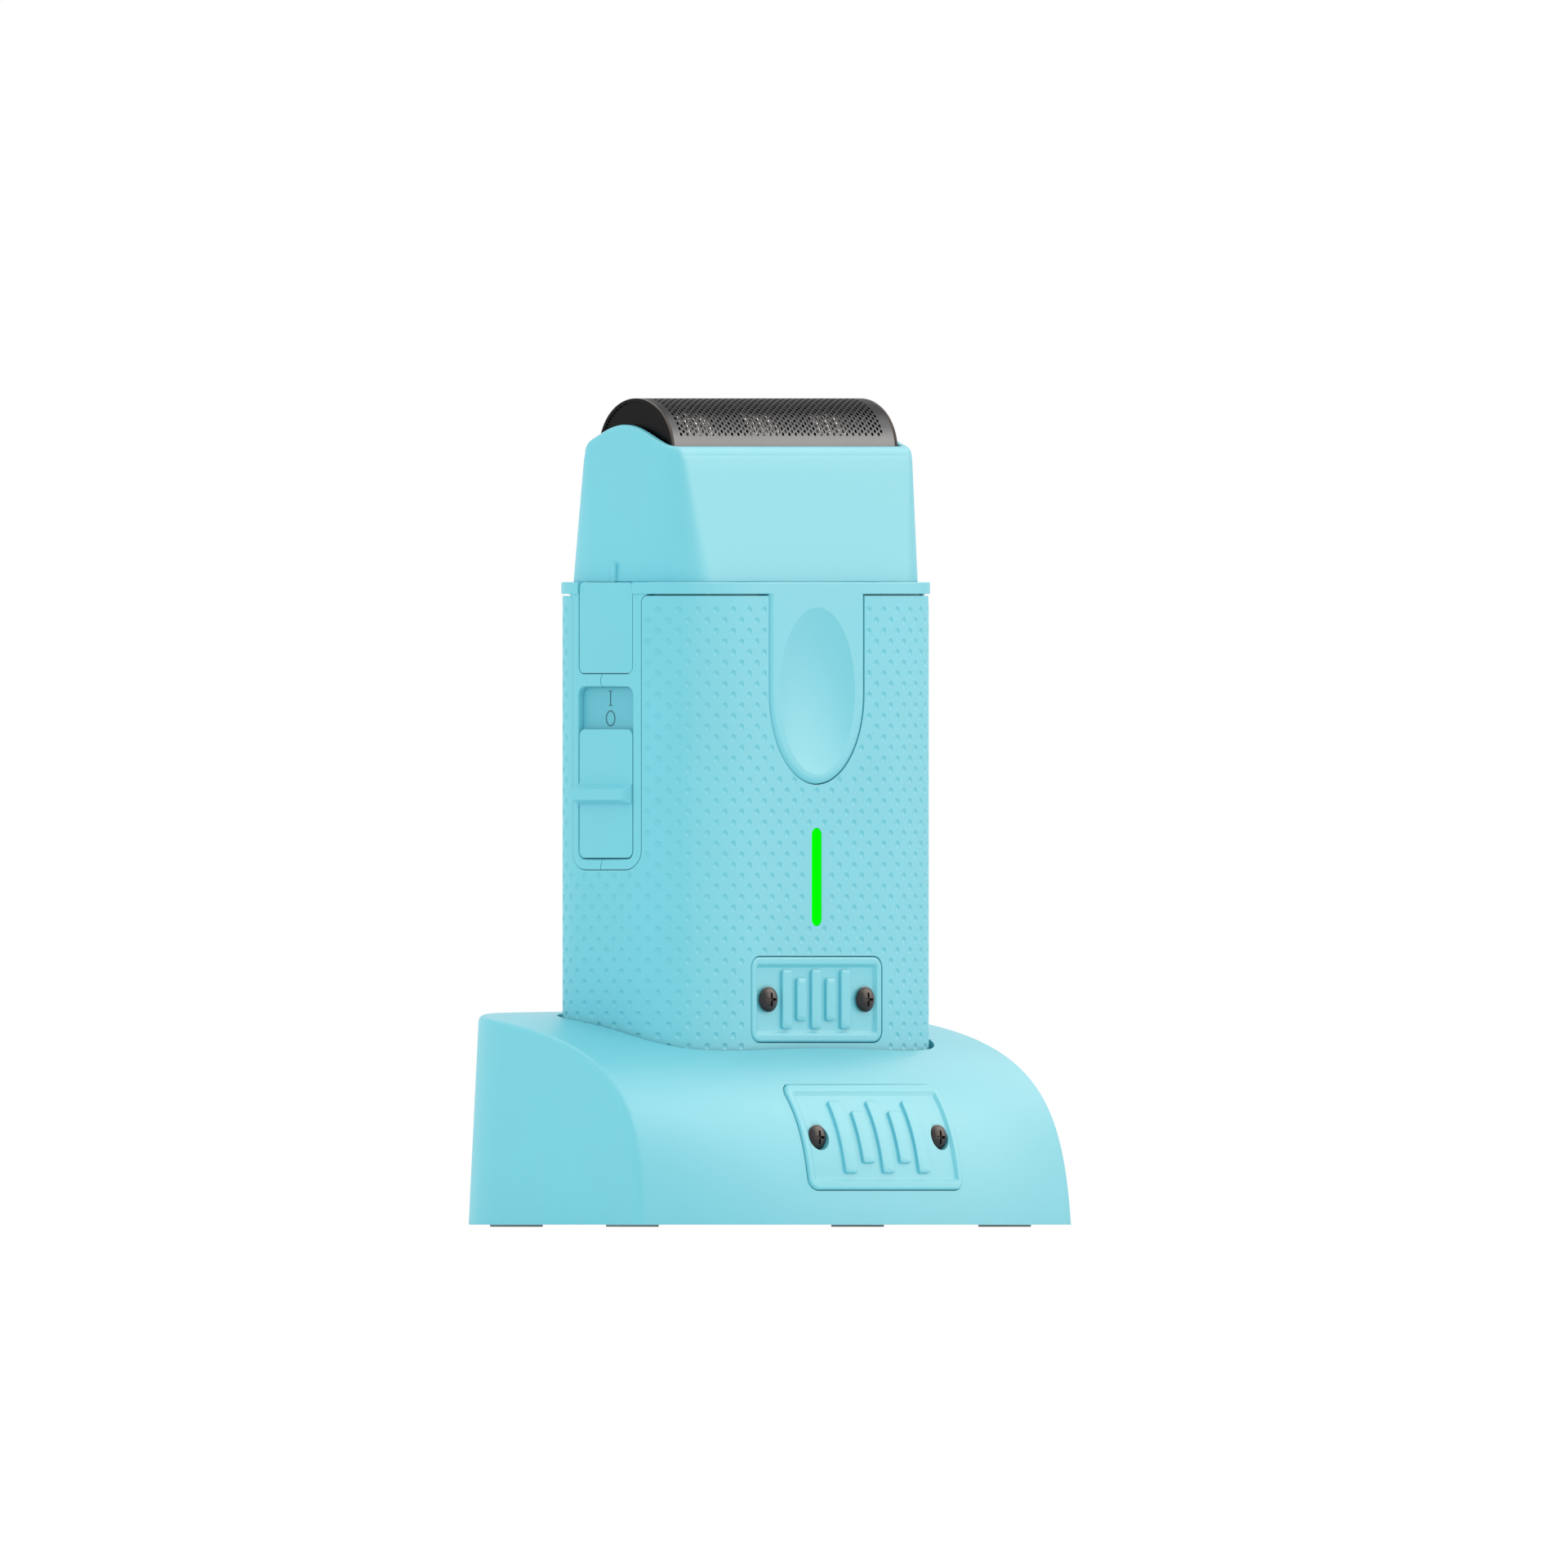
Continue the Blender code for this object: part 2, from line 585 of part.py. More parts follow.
def build_dock_electrics(axis, materials):
    outline = rounded_box((-13 * MM, 13 * MM), (-8 * MM, 17.6 * MM), 1.5 * MM, 2)
    board = plate_mesh("dock_circuit_board", outline, DOCK_BOARD_BOTTOM, DOCK_BOARD_TOP)
    add_object("dock_circuit_board", board, axis, materials["board"])

    low = DOCK_BOARD_TOP + GAP
    width = (-SOCKET_HALF_WIDTH, SOCKET_HALF_WIDTH)
    socket_outline = rounded_box(width, (low, low + SOCKET_HEIGHT), 1.3 * MM)
    back = DOCK_HALF_DEPTH - 0.6 * MM
    socket = plate_mesh("power_socket", socket_outline, -back, -back + 7.5 * MM, FACING_FRONT)
    socket = add_object("power_socket", socket, None, materials["steel"])
    wall = 0.35 * MM
    mouth_x = (-SOCKET_HALF_WIDTH + wall, SOCKET_HALF_WIDTH - wall)
    mouth_outline = rounded_box(mouth_x, (low + wall, low + SOCKET_HEIGHT - wall), 1.1 * MM)
    mouth = plate_mesh("socket_inside", mouth_outline, -back - MM, -back + 6.5 * MM, FACING_FRONT)
    cut(socket, add_object("socket_inside", mouth))

    for side, word in ((-1, "left"), (1, "right")):
        x = side * CONTACT_X
        tip = [(0.5 * MM, 9.8 * MM), (0.9 * MM, 9.4 * MM)]
        profile = [*tip, (0.9 * MM, 6.9 * MM), (1.7 * MM, 6.9 * MM), (1.7 * MM, 6.0 * MM)]
        pin = turned_mesh(f"charge_pin_{word}", profile, 16)
        pin.transform(Matrix.Translation((x, 0, 0)))
        add_object(f"charge_pin_{word}", pin, axis, materials["brass"])
        name = f"charge_pin_spring_{word}"
        middle = (x, 0, (DOCK_BOARD_TOP + GAP + 5.7 * MM) / 2)
        spring = coil_mesh(name, middle, 1.2 * MM, 0.15 * MM, 5.7 * MM - DOCK_BOARD_TOP - GAP, 3, (0, 0, 1))
        add_object(name, spring, axis, materials["steel"])


# ---------------------------------------------------------------- shaver body


def control_outline(z, radius, grow=0.0):
    """A rounded outline in Y and Z as wide as the side controls."""
    half = CONTROL_HALF_WIDTH + grow
    return rounded_box((CONTROL_Y - half, CONTROL_Y + half), z, radius)


def trim_outline(side, grow):
    """The smooth side trim in Y and Z: down past the switch on the left, past the button on the right."""
    bottom = TRIM_BOTTOM if side < 0 else BUTTON_Z[0] - 1.7 * MM
    half = TRIM_HALF_WIDTH + grow
    y = (CONTROL_Y - half, CONTROL_Y + half)
    return rounded_box(y, (bottom - grow, RING_TOP + 6 * MM), 3 * MM)


def trim_block(name, side, grow, axis, depth):
    near = BODY_HALF_WIDTH - depth
    low, high = (near, BODY_HALF_WIDTH + 5 * MM) if side > 0 else (-BODY_HALF_WIDTH - 5 * MM, -near)
    return add_object(name, plate_mesh(name, trim_outline(side, grow), low, high, FACING_SIDE), axis)


def housing_core(name, axis, material):
    """Both housing halves in one: the core, the ring on top, and the pads that reach the outside."""
    mesh = plate_mesh(name, body_section(HOUSING_INSET), CAP_TOP + GAP, RING_TOP)
    core = add_object(name, mesh, axis, material)
    pads = plate_mesh(f"{name}_pads", body_section(0.0), CAP_TOP + MM, RING_TOP - 0.1 * MM)
    pads = add_object(f"{name}_pads", pads, axis)
    tongue = plate_mesh(f"{name}_tongue", tongue_outline(0.0), 8 * MM, 20 * MM, FACING_FRONT)
    shapes = add_object(f"{name}_shapes", tongue, axis)
    for side in (-1, 1):
        join(shapes, trim_block(f"{name}_trim_{side}", side, 0.0, axis, 6 * MM))
    join(core, keep_inside(pads, shapes))
    ring = plate_mesh(f"{name}_ring", body_section(-0.2 * MM), RING_BOTTOM, RING_TOP)
    join(core, add_object(f"{name}_ring", ring, axis))
    return core


def housing_cavity(axis):
    """What is taken out of both halves: the inside, the openings and the holes."""
    cavity = plate_mesh("housing_cavity", body_section(CAVITY_INSET, 2, 4), 5 * MM, RING_BOTTOM - 0.6 * MM)
    tools = [add_object("housing_cavity", cavity, axis)]
    depth = (-8.4 * MM, 8.4 * MM)
    room = box_mesh("switch_plate_room", (-29.5 * MM, -24 * MM), depth, (56.2 * MM, 87.2 * MM))
    tools.append(add_object("switch_plate_room", room, axis))
    slot = control_outline(SLOT_Z, 1.3 * MM)
    low, high = -BODY_HALF_WIDTH - 5 * MM, -BODY_HALF_WIDTH + 8 * MM
    tools.append(add_object("switch_slot", plate_mesh("switch_slot", slot, low, high, FACING_SIDE), axis))
    opening = control_outline((BUTTON_Z[0] - GAP, RING_TOP + 5 * MM), 1.3 * MM)
    for side in (-1, 1):
        name = f"button_opening_{side}"
        low, high = sorted((side * (BODY_HALF_WIDTH + 5 * MM), side * BUTTON_ROOM_X))
        tools.append(add_object(name, plate_mesh(name, opening, low, high, FACING_SIDE), axis))
        name = f"tab_slot_{side}"
        x = sorted((side * 26.6 * MM, side * 25.0 * MM))
        slot_mesh = box_mesh(name, x, (-3.8 * MM, 3.8 * MM), (98 * MM, 106 * MM))
        tools.append(add_object(name, slot_mesh, axis))
    deck_hole = rod_mesh("deck_hole", 6 * MM, (0, 0, 98 * MM), (0, 0, 106 * MM), 24)
    tools.append(add_object("deck_hole", deck_hole, axis))
    window = rounded_box(
        (-LIGHT_HALF_WIDTH - GAP, LIGHT_HALF_WIDTH + GAP), (LIGHT_Z[0] - GAP, LIGHT_Z[1] + GAP), 1.35 * MM
    )
    window_mesh = plate_mesh("light_window", window, 8 * MM, 20 * MM, FACING_FRONT)
    tools.append(add_object("light_window", window_mesh, axis))
    for side in (-1, 1):
        name = f"badge_pilot_{side}"
        start = (side * BADGE_SCREW_X, -20 * MM, sum(BADGE_Z) / 2)
        end = (side * BADGE_SCREW_X, -9 * MM, sum(BADGE_Z) / 2)
        tools.append(add_object(name, rod_mesh(name, 1.1 * MM, start, end, 12), axis))
    return tools


def build_housings(axis, materials):
    """Front and rear housing: the same hollow core, cut at the mid plane, with screw bosses."""
    tools = housing_cavity(axis)
    work = bmesh.new()
    radius = (DISH_HALF_WIDTH**2 + DISH_DEPTH**2) / (2 * DISH_DEPTH)
    middle = Matrix.Translation((0, -BODY_HALF_DEPTH + DISH_DEPTH - radius, DISH_Z))
    stretch = Matrix.Diagonal((1, 1, DISH_HALF_HEIGHT / DISH_HALF_WIDTH, 1))
    bmesh.ops.create_uvsphere(work, u_segments=64, v_segments=48, radius=radius, matrix=middle @ stretch)
    dish = add_object("dish", finish_mesh("dish", work), axis)

    inside = BODY_HALF_DEPTH - CAVITY_INSET - 0.1 * MM
    for word, side in (("front", -1), ("rear", 1)):
        housing = housing_core(f"{word}_housing", axis, materials["aqua"])
        cut(housing, *tools)
        if side < 0:
            cut(housing, dish)
        y = sorted((side * GAP / 2, side * 30 * MM))
        half = box_mesh(f"{word}_half", (-50 * MM, 50 * MM), y, (0, 120 * MM))
        keep_inside(housing, add_object(f"{word}_half", half, axis))
        for i, (x, z) in enumerate(mirrored(HOUSING_SCREW_PAIRS)):
            name = f"{word}_boss_{i + 1}"
            boss = rod_mesh(name, BOSS_RADIUS, (x, side * GAP / 2, z), (x, side * inside, z), 16)
            join(housing, add_object(name, boss, axis))
            name = f"{word}_boss_hole_{i + 1}"
            if side < 0:
                hole = rod_mesh(name, 1.1 * MM, (x, MM, z), (x, -9 * MM, z), 12)
            else:
                profile = [(1.1 * MM, MM), (1.1 * MM, -9 * MM), (2.6 * MM, -9 * MM), (2.6 * MM, -20 * MM)]
                hole = turned_mesh(name, profile, 16)
                hole.transform(Matrix.Translation((x, 0, z)) @ FACING_FRONT)
            cut(housing, add_object(name, hole, axis))
    for i, (x, z) in enumerate(mirrored(HOUSING_SCREW_PAIRS)):
        name = f"housing_screw_{i + 1}"
        profile = [(0.8 * MM, 8 * MM), (0.8 * MM, -9.3 * MM), (2.2 * MM, -9.3 * MM), (2.2 * MM, -10.8 * MM)]
        screw = turned_mesh(name, profile, 16)
        screw.transform(Matrix.Translation((x, 0, z)) @ FACING_FRONT)
        add_object(name, screw, axis, materials["screw"])


def build_sleeve(axis, materials):
    outline = body_section(0.0, 3, 6)
    sleeve = plate_mesh("grip_sleeve", outline, CAP_TOP + GAP, RING_BOTTOM - GAP)
    sleeve = add_object("grip_sleeve", sleeve, axis, materials["aqua_soft"])
    inner = plate_mesh("sleeve_inside", body_section(SLEEVE_THICKNESS), 5 * MM, 120 * MM)
    tongue = plate_mesh("sleeve_tongue", tongue_outline(GAP), 8 * MM, 20 * MM, FACING_FRONT)
    window = rounded_box(
        (-LIGHT_HALF_WIDTH - GAP, LIGHT_HALF_WIDTH + GAP), (LIGHT_Z[0] - GAP, LIGHT_Z[1] + GAP), 1.35 * MM
    )
    light = plate_mesh("sleeve_light", window, 8 * MM, 20 * MM, FACING_FRONT)
    cut(sleeve, add_object("sleeve_inside", inner, axis))
    cut(sleeve, add_object("sleeve_tongue", tongue, axis), add_object("sleeve_light", light, axis))
    badge = badge_block("sleeve_badge", BADGE_HALF_WIDTH, BADGE_Z, (-20 * MM, -8 * MM), GAP, 1.8 * MM)
    badge.parent = axis
    cut(sleeve, badge)
    for side in (-1, 1):
        cut(sleeve, trim_block(f"sleeve_trim_{side}", side, GAP, axis, 12 * MM))


def build_bottom_cap(axis, materials):
    cap = plate_mesh("bottom_cap", body_section(0.0), BODY_BOTTOM, CAP_TOP)
    cap = add_object("bottom_cap", cap, axis, materials["aqua"])
    spigot = plate_mesh("cap_spigot", body_section(CAVITY_INSET + GAP, 2, 4), CAP_TOP - MM, CAP_TOP + 2 * MM)
    join(cap, add_object("cap_spigot", spigot, axis))
    for side, word in ((-1, "left"), (1, "right")):
        x = side * CONTACT_X
        name = f"contact_hole_{word}"
        hole = rod_mesh(name, 1.9 * MM, (x, 0, 8 * MM), (x, 0, 16 * MM), 16)
        cut(cap, add_object(name, hole, axis))
        name = f"charge_contact_{word}"
        contact = rod_mesh(name, 1.6 * MM, (x, 0, BODY_BOTTOM + 0.6 * MM), (x, 0, CAP_TOP + 2.2 * MM), 16)
        add_object(name, contact, axis, materials["brass"])


def build_body_badge(axis, materials):
    back = -(BODY_HALF_DEPTH - HOUSING_INSET) - GAP
    front = -BODY_HALF_DEPTH - 0.4 * MM
    outline = rounded_box((-BADGE_HALF_WIDTH, BADGE_HALF_WIDTH), BADGE_Z, 1.7 * MM, 3)
    badge = plate_mesh("body_badge", outline, -back, -front, FACING_FRONT)
    badge = add_object("body_badge", badge, axis, materials["aqua"])
    middle = sum(BADGE_Z) / 2
    rim = 1.4 * MM
    field_outline = rounded_box(
        (-BADGE_HALF_WIDTH + rim, BADGE_HALF_WIDTH - rim), (BADGE_Z[0] + rim, BADGE_Z[1] - rim), 0.8 * MM, 3
    )
    field = plate_mesh("badge_field", field_outline, -front - 0.4 * MM, -front + MM, FACING_FRONT)
    cut(badge, add_object("badge_field", field, axis))
    for side, word in ((-1, "left"), (1, "right")):
        x = side * BADGE_SCREW_X
        name = f"badge_hole_{word}"
        hole = rod_mesh(name, 1.1 * MM, (x, -20 * MM, middle), (x, -9 * MM, middle), 12)
        cut(badge, add_object(name, hole, axis))
        add_badge_screw(f"body_badge_screw_{word}", x, front + 0.1 * MM, middle, 3.6 * MM, axis, materials)


def build_light(axis, materials):
    outline = rounded_box((-LIGHT_HALF_WIDTH, LIGHT_HALF_WIDTH), LIGHT_Z, 1.05 * MM)
    depth = (BODY_HALF_DEPTH - 4.5 * MM, BODY_HALF_DEPTH + 0.05 * MM)
    light = plate_mesh("charge_light", outline, *depth, FACING_FRONT)
    add_object("charge_light", light, axis, materials["light"])


def build_switch(axis, materials):
    """The slider, the plate behind it that carries the marks, and the switch that it works."""
    plate_outline = rounded_box((-8.0 * MM, 8.0 * MM), (56.5 * MM, 86.9 * MM), 1.0 * MM, 2)
    plate = plate_mesh("switch_plate", plate_outline, *SWITCH_PLATE_X, FACING_SIDE)
    plate = add_object("switch_plate", plate, axis, materials["aqua"])
    field_z = (SLOT_Z[0] + GAP, SLOT_Z[1] - GAP)
    field_x = (SWITCH_FIELD_X, sum(SWITCH_PLATE_X) / 2)
    field = plate_mesh("switch_field", control_outline(field_z, MM, -GAP), *field_x, FACING_SIDE)
    join(plate, add_object("switch_field", field, axis))
    slit = box_mesh("switch_slit", (-35 * MM, -20 * MM), (-1.5 * MM, 1.5 * MM), (66.8 * MM, 77.6 * MM))
    cut(plate, add_object("switch_slit", slit, axis))

    slider = plate_mesh("power_slider", control_outline(SLIDER_Z, MM, -GAP), *SLIDER_X, FACING_SIDE)
    slider = add_object("power_slider", slider, axis, materials["aqua"])
    ledge_y = (CONTROL_Y - CONTROL_HALF_WIDTH + 1.45 * MM, CONTROL_Y + CONTROL_HALF_WIDTH - GAP)
    ledge_x = (SLIDER_LEDGE_X, sum(SLIDER_X) / 2)
    ledge = box_mesh("slider_ledge", ledge_x, ledge_y, SLIDER_LEDGE_Z)
    post_x = (sum(SLIDER_X) / 2, -27.4 * MM)
    post = box_mesh("slider_post", post_x, (-1.1 * MM, 1.1 * MM), (67.4 * MM, 70.2 * MM))
    join(slider, add_object("slider_ledge", ledge, axis), add_object("slider_post", post, axis))

    knob = box_mesh("switch_knob", (-27.1 * MM, -24.3 * MM), (-1.4 * MM, 1.4 * MM), (67.2 * MM, 70.4 * MM))
    add_object("switch_knob", knob, axis, materials["black"])
    switch = box_mesh("switch_body", (-24.0 * MM, -20.0 * MM), (-4 * MM, 4 * MM), (64 * MM, 80 * MM))
    add_object("switch_body", switch, axis, materials["steel"])


def build_release_button(side, word, axis, materials):
    """A flush side button. Two arms reach in past the head's tab to a crossbar."""
    name = f"release_button_{word}"
    low, high = sorted((side * 31.95 * MM, side * 28.0 * MM))
    pad = plate_mesh(name, control_outline(BUTTON_Z, MM, -GAP), low, high, FACING_SIDE)
    button = add_object(name, pad, axis, materials["aqua"])
    x = sorted((side * 28.05 * MM, side * 27.3 * MM))
    flange = box_mesh(f"{name}_flange", x, (-7.3 * MM, 7.3 * MM), (87.6 * MM, 94.6 * MM))
    join(button, add_object(f"{name}_flange", flange, axis))
    x = sorted((side * 28.3 * MM, side * 23.5 * MM))
    frame = box_mesh(f"{name}_arms", x, (-5.3 * MM, 5.3 * MM), (96.4 * MM, 98.4 * MM))
    frame = add_object(f"{name}_arms", frame, axis)
    x = sorted((side * 27.9 * MM, side * 24.7 * MM))
    gate = box_mesh(f"{name}_gate", x, (-4.1 * MM, 4.1 * MM), (95 * MM, 99 * MM))
    join(button, cut(frame, add_object(f"{name}_gate", gate, axis)))

    spring_ends = (20.4 * MM, 27.0 * MM)
    middle = (side * sum(spring_ends) / 2, 0, HOUSING_SCREW_PAIRS[-1][1])
    name = f"release_spring_{word}"
    spring = coil_mesh(name, middle, 2.2 * MM, 0.22 * MM, spring_ends[1] - spring_ends[0], 4, (1, 0, 0))
    add_object(name, spring, axis, materials["steel"])


# ---------------------------------------------------------------- inside the body


def build_power_pack(axis, materials):
    end = 1.4 * MM
    profile = [
        (2.6 * MM, BATTERY_Z[1] + end),
        (2.6 * MM, BATTERY_Z[1]),
        (BATTERY_RADIUS - 0.5 * MM, BATTERY_Z[1]),
        (BATTERY_RADIUS, BATTERY_Z[1] - 0.5 * MM),
        (BATTERY_RADIUS, BATTERY_Z[0] + 0.5 * MM),
        (BATTERY_RADIUS - 0.5 * MM, BATTERY_Z[0]),
    ]
    cell = turned_mesh("battery", profile, 28)
    cell.transform(Matrix.Translation((BATTERY_X, 1.5 * MM, 0)))
    add_object("battery", cell, axis, materials["cell"])
    outline = rounded_box((-17.5 * MM, 17.5 * MM), (15 * MM, 65 * MM), 1.5 * MM, 2)
    board = plate_mesh("main_circuit_board", outline, 9.6 * MM, 10.8 * MM, FACING_FRONT)
    add_object("main_circuit_board", board, axis, materials["board"])


def build_motor(axis, materials):
    profile = [
        (3.0 * MM, MOTOR_Z[1] + 1.2 * MM),
        (3.0 * MM, MOTOR_Z[1]),
        (MOTOR_RADIUS - 0.6 * MM, MOTOR_Z[1]),
        (MOTOR_RADIUS, MOTOR_Z[1] - 0.6 * MM),
        (MOTOR_RADIUS, MOTOR_Z[0] + 0.6 * MM),
        (MOTOR_RADIUS - 0.6 * MM, MOTOR_Z[0]),
    ]
    can = add_object("motor_can", turned_mesh("motor_can", profile, 28), axis, materials["steel"])
    bore = rod_mesh("motor_bore", SHAFT_RADIUS + 0.3 * MM, (0, 0, 88 * MM), (0, 0, 99 * MM), 16)
    cut(can, add_object("motor_bore", bore, axis))

    outline = rounded_box((-15.5 * MM, 15.5 * MM), (-11.8 * MM, 11.8 * MM), 2 * MM, 3)
    bracket = plate_mesh("motor_bracket", outline, BRACKET_Z[0], BRACKET_Z[1])
    bracket = add_object("motor_bracket", bracket, axis, materials["black"])
    hole = rod_mesh("bracket_hole", 3.4 * MM, (0, 0, 90 * MM), (0, 0, 99 * MM), 24)
    cut(bracket, add_object("bracket_hole", hole, axis))

    shaft = rod_mesh("motor_shaft", SHAFT_RADIUS, (0, 0, 88.5 * MM), (0, 0, 102.6 * MM), 16)
    add_object("motor_shaft", shaft, axis, materials["steel"])
    profile = [(4.0 * MM, 104.6 * MM), (4.0 * MM, 103.2 * MM), (2.6 * MM, 103.2 * MM), (2.6 * MM, 97.0 * MM)]
    cam = add_object("eccentric_cam", turned_mesh("eccentric_cam", profile, 24), axis, materials["white"])
    socket = rod_mesh("cam_socket", SHAFT_RADIUS + 0.3 * MM, (0, 0, 96 * MM), (0, 0, 102.9 * MM), 16)
    pin = rod_mesh("cam_pin", 0.8 * MM, (0, CAM_THROW, 104 * MM), (0, CAM_THROW, 107.4 * MM), 16)
    cut(cam, add_object("cam_socket", socket, axis))
    join(cam, add_object("cam_pin", pin, axis))


# ---------------------------------------------------------------- head


def head_section(part, height, inset, steps=6):
    """The head's plan outline at a share of its height between base and top, moved in by inset."""
    base, top = HEAD_BASE, HEAD_TOP
    half_x, half_y, radius, shift = (b + (t - b) * part for b, t in zip(base, top))
    radius = max(radius - inset, 0.8 * MM)
    outline = rounded_box(
        (-half_x + inset, half_x - inset), (shift - half_y + inset, shift + half_y - inset), radius, steps
    )
    return [(x, y, height) for x, y in split_sides(outline)]


def split_sides(outline, pieces=8):
    """The same outline with each straight flank cut into short lengths, so that the rim can wave."""
    points = []
    for (x0, y0), (x1, y1) in zip(outline, outline[1:] + outline[:1]):
        count = pieces if abs(x1 - x0) < 0.01 * MM else 1
        for i in range(count):
            points.append((x0 + (x1 - x0) * i / count, y0 + (y1 - y0) * i / count))
    return points


def rim_height(y):
    """The rim's height: level at front and back, and rising to a crest on each flank."""
    across = min(abs(y - HEAD_TOP[3]) / (HEAD_TOP[1] - HEAD_TOP[2] / 3), 1.0)
    return HEAD_RIM + HEAD_WAVE * math.cos(math.pi / 2 * across) ** 1.6


def build_head_frame(axis, foil_axis, materials):
    height = HEAD_RIM - HEAD_BOTTOM
    outer = [head_section(part, HEAD_BOTTOM + part * height, 0.0) for part in (0.0, 0.5)]
    inner = [head_section(part, HEAD_BOTTOM + part * height, HEAD_WALL) for part in (0.5, 0.0)]
    outer_rim = [(x, y, rim_height(y)) for x, y, _ in head_section(1.0, 0.0, 0.0)]
    inner_rim = [(x, y, rim_height(y)) for x, y, _ in head_section(1.0, 0.0, HEAD_WALL)]
    mesh = loft_mesh("head_frame", [*outer, outer_rim, inner_rim, *inner], 30, ends_meet=True)
    frame = add_object("head_frame", mesh, axis, materials["aqua"])

    share = (HEAD_FLOOR_Z[0] - HEAD_BOTTOM) / (HEAD_RIM - HEAD_BOTTOM)
    outline = [(x, y) for x, y, _ in head_section(share, 0.0, HEAD_WALL - 0.6 * MM)]
    floor = plate_mesh("head_floor", outline, *HEAD_FLOOR_Z)
    floor = add_object("head_floor", floor, axis)
    open_x, open_y = HEAD_OPENING
    opening = box_mesh("head_opening", (-open_x, open_x), (-open_y, open_y), (90 * MM, 120 * MM))
    join(frame, cut(floor, add_object("head_opening", opening, foil_axis)))
    for side in (-1, 1):
        x = sorted((side * 26.3 * MM, side * 25.3 * MM))
        name = f"head_tab_{side}"
        tab = box_mesh(name, x, (-3.5 * MM, 3.5 * MM), (95.0 * MM, 109.4 * MM))
        join(frame, add_object(name, tab, axis))


def arch_outline(radius, bottom, steps=16):
    """Half a circle on straight legs, in Y and Z."""
    points = [(-radius, bottom), (radius, bottom)]
    for i in range(steps + 1):
        angle = math.pi * i / steps
        points.append((radius * math.cos(angle), FOIL_AXIS_Z + radius * math.sin(angle)))
    return points


def build_cassette(axis, materials):
    cap_inner = CASSETTE_HALF_LENGTH - END_CAP_THICKNESS
    foil = plate_mesh(
        "foil", arch_outline(FOIL_RADIUS, FOIL_BOTTOM, 20), -cap_inner + GAP, cap_inner - GAP, FACING_SIDE
    )
    foil = add_object("foil", foil, axis, materials["steel"])
    bore_outline = arch_outline(FOIL_RADIUS - FOIL_THICKNESS, FOIL_BOTTOM - 5 * MM, 20)
    bore = plate_mesh("foil_bore", bore_outline, -40 * MM, 40 * MM, FACING_SIDE)
    cut(foil, add_object("foil_bore", bore, axis))
    for side, word in ((-1, "left"), (1, "right")):
        name = f"foil_end_cap_{word}"
        low, high = sorted((side * cap_inner, side * CASSETTE_HALF_LENGTH))
        cap = plate_mesh(name, arch_outline(FOIL_RADIUS, FOIL_BOTTOM), low, high, FACING_SIDE)
        add_object(name, cap, axis, materials["black"])
        name = f"foil_spring_{word}"
        low, high = HEAD_FLOOR_Z[1] + GAP, CASSETTE_Z[0] - GAP
        middle = (side * 24.2 * MM, 0, (low + high) / 2)
        spring = coil_mesh(name, middle, 1.1 * MM, 0.16 * MM, high - low, 3, (0, 0, 1))
        add_object(name, spring, axis, materials["steel"])
    outline = rounded_box((-25.6 * MM, 25.6 * MM), (-9.2 * MM, 9.2 * MM), 1.5 * MM)
    frame = plate_mesh("cassette_frame", outline, *CASSETTE_Z)
    frame = add_object("cassette_frame", frame, axis, materials["black"])
    open_x, open_y = HEAD_OPENING
    window = box_mesh("cassette_window", (-open_x, open_x), (-open_y, open_y), (100 * MM, 130 * MM))
    cut(frame, add_object("cassette_window", window, axis))


def build_cutter(axis, foil_axis, materials):
    outline = [(-10 * MM, -5 * MM), (10 * MM, -5 * MM), (10 * MM, 5 * MM), (-10 * MM, 5 * MM)]
    bridge = plate_mesh("drive_bridge", outline, 105.2 * MM, 108.3 * MM)
    bridge = add_object("drive_bridge", bridge, axis, materials["white"])
    throw = 3.1 * MM
    window = box_mesh("bridge_window", (-throw, throw), (-throw, throw), (100 * MM, 107.7 * MM))
    cut(bridge, add_object("bridge_window", window, axis))
    post = rod_mesh("bridge_post", 2.0 * MM, (0, 0, 108 * MM), (0, 0, 114.9 * MM), 20)
    join(bridge, add_object("bridge_post", post, axis))

    carrier = box_mesh("cutter_carrier", (-10 * MM, 10 * MM), (-4 * MM, 4 * MM), (114.0 * MM, 117.4 * MM))
    carrier = add_object("cutter_carrier", carrier, axis, materials["white"])
    socket = rod_mesh("carrier_socket", 2.4 * MM, (0, 0, 110 * MM), (0, 0, 116.2 * MM), 20)
    cut(carrier, add_object("carrier_socket", socket, axis))

    block_outline = arch_outline(CUTTER_RADIUS, 117.7 * MM)
    block = plate_mesh("cutter_block", block_outline, -CUTTER_HALF_LENGTH, CUTTER_HALF_LENGTH, FACING_SIDE)
    add_object("cutter_block", block, foil_axis, materials["steel"])

    low, high = 108.6 * MM, 113.7 * MM
    middle = (0, 0, (low + high) / 2)
    spring = coil_mesh("cutter_spring", middle, 2.9 * MM, 0.22 * MM, high - low, 4, (0, 0, 1))
    add_object("cutter_spring", spring, axis, materials["steel"])


# ---------------------------------------------------------------- the whole


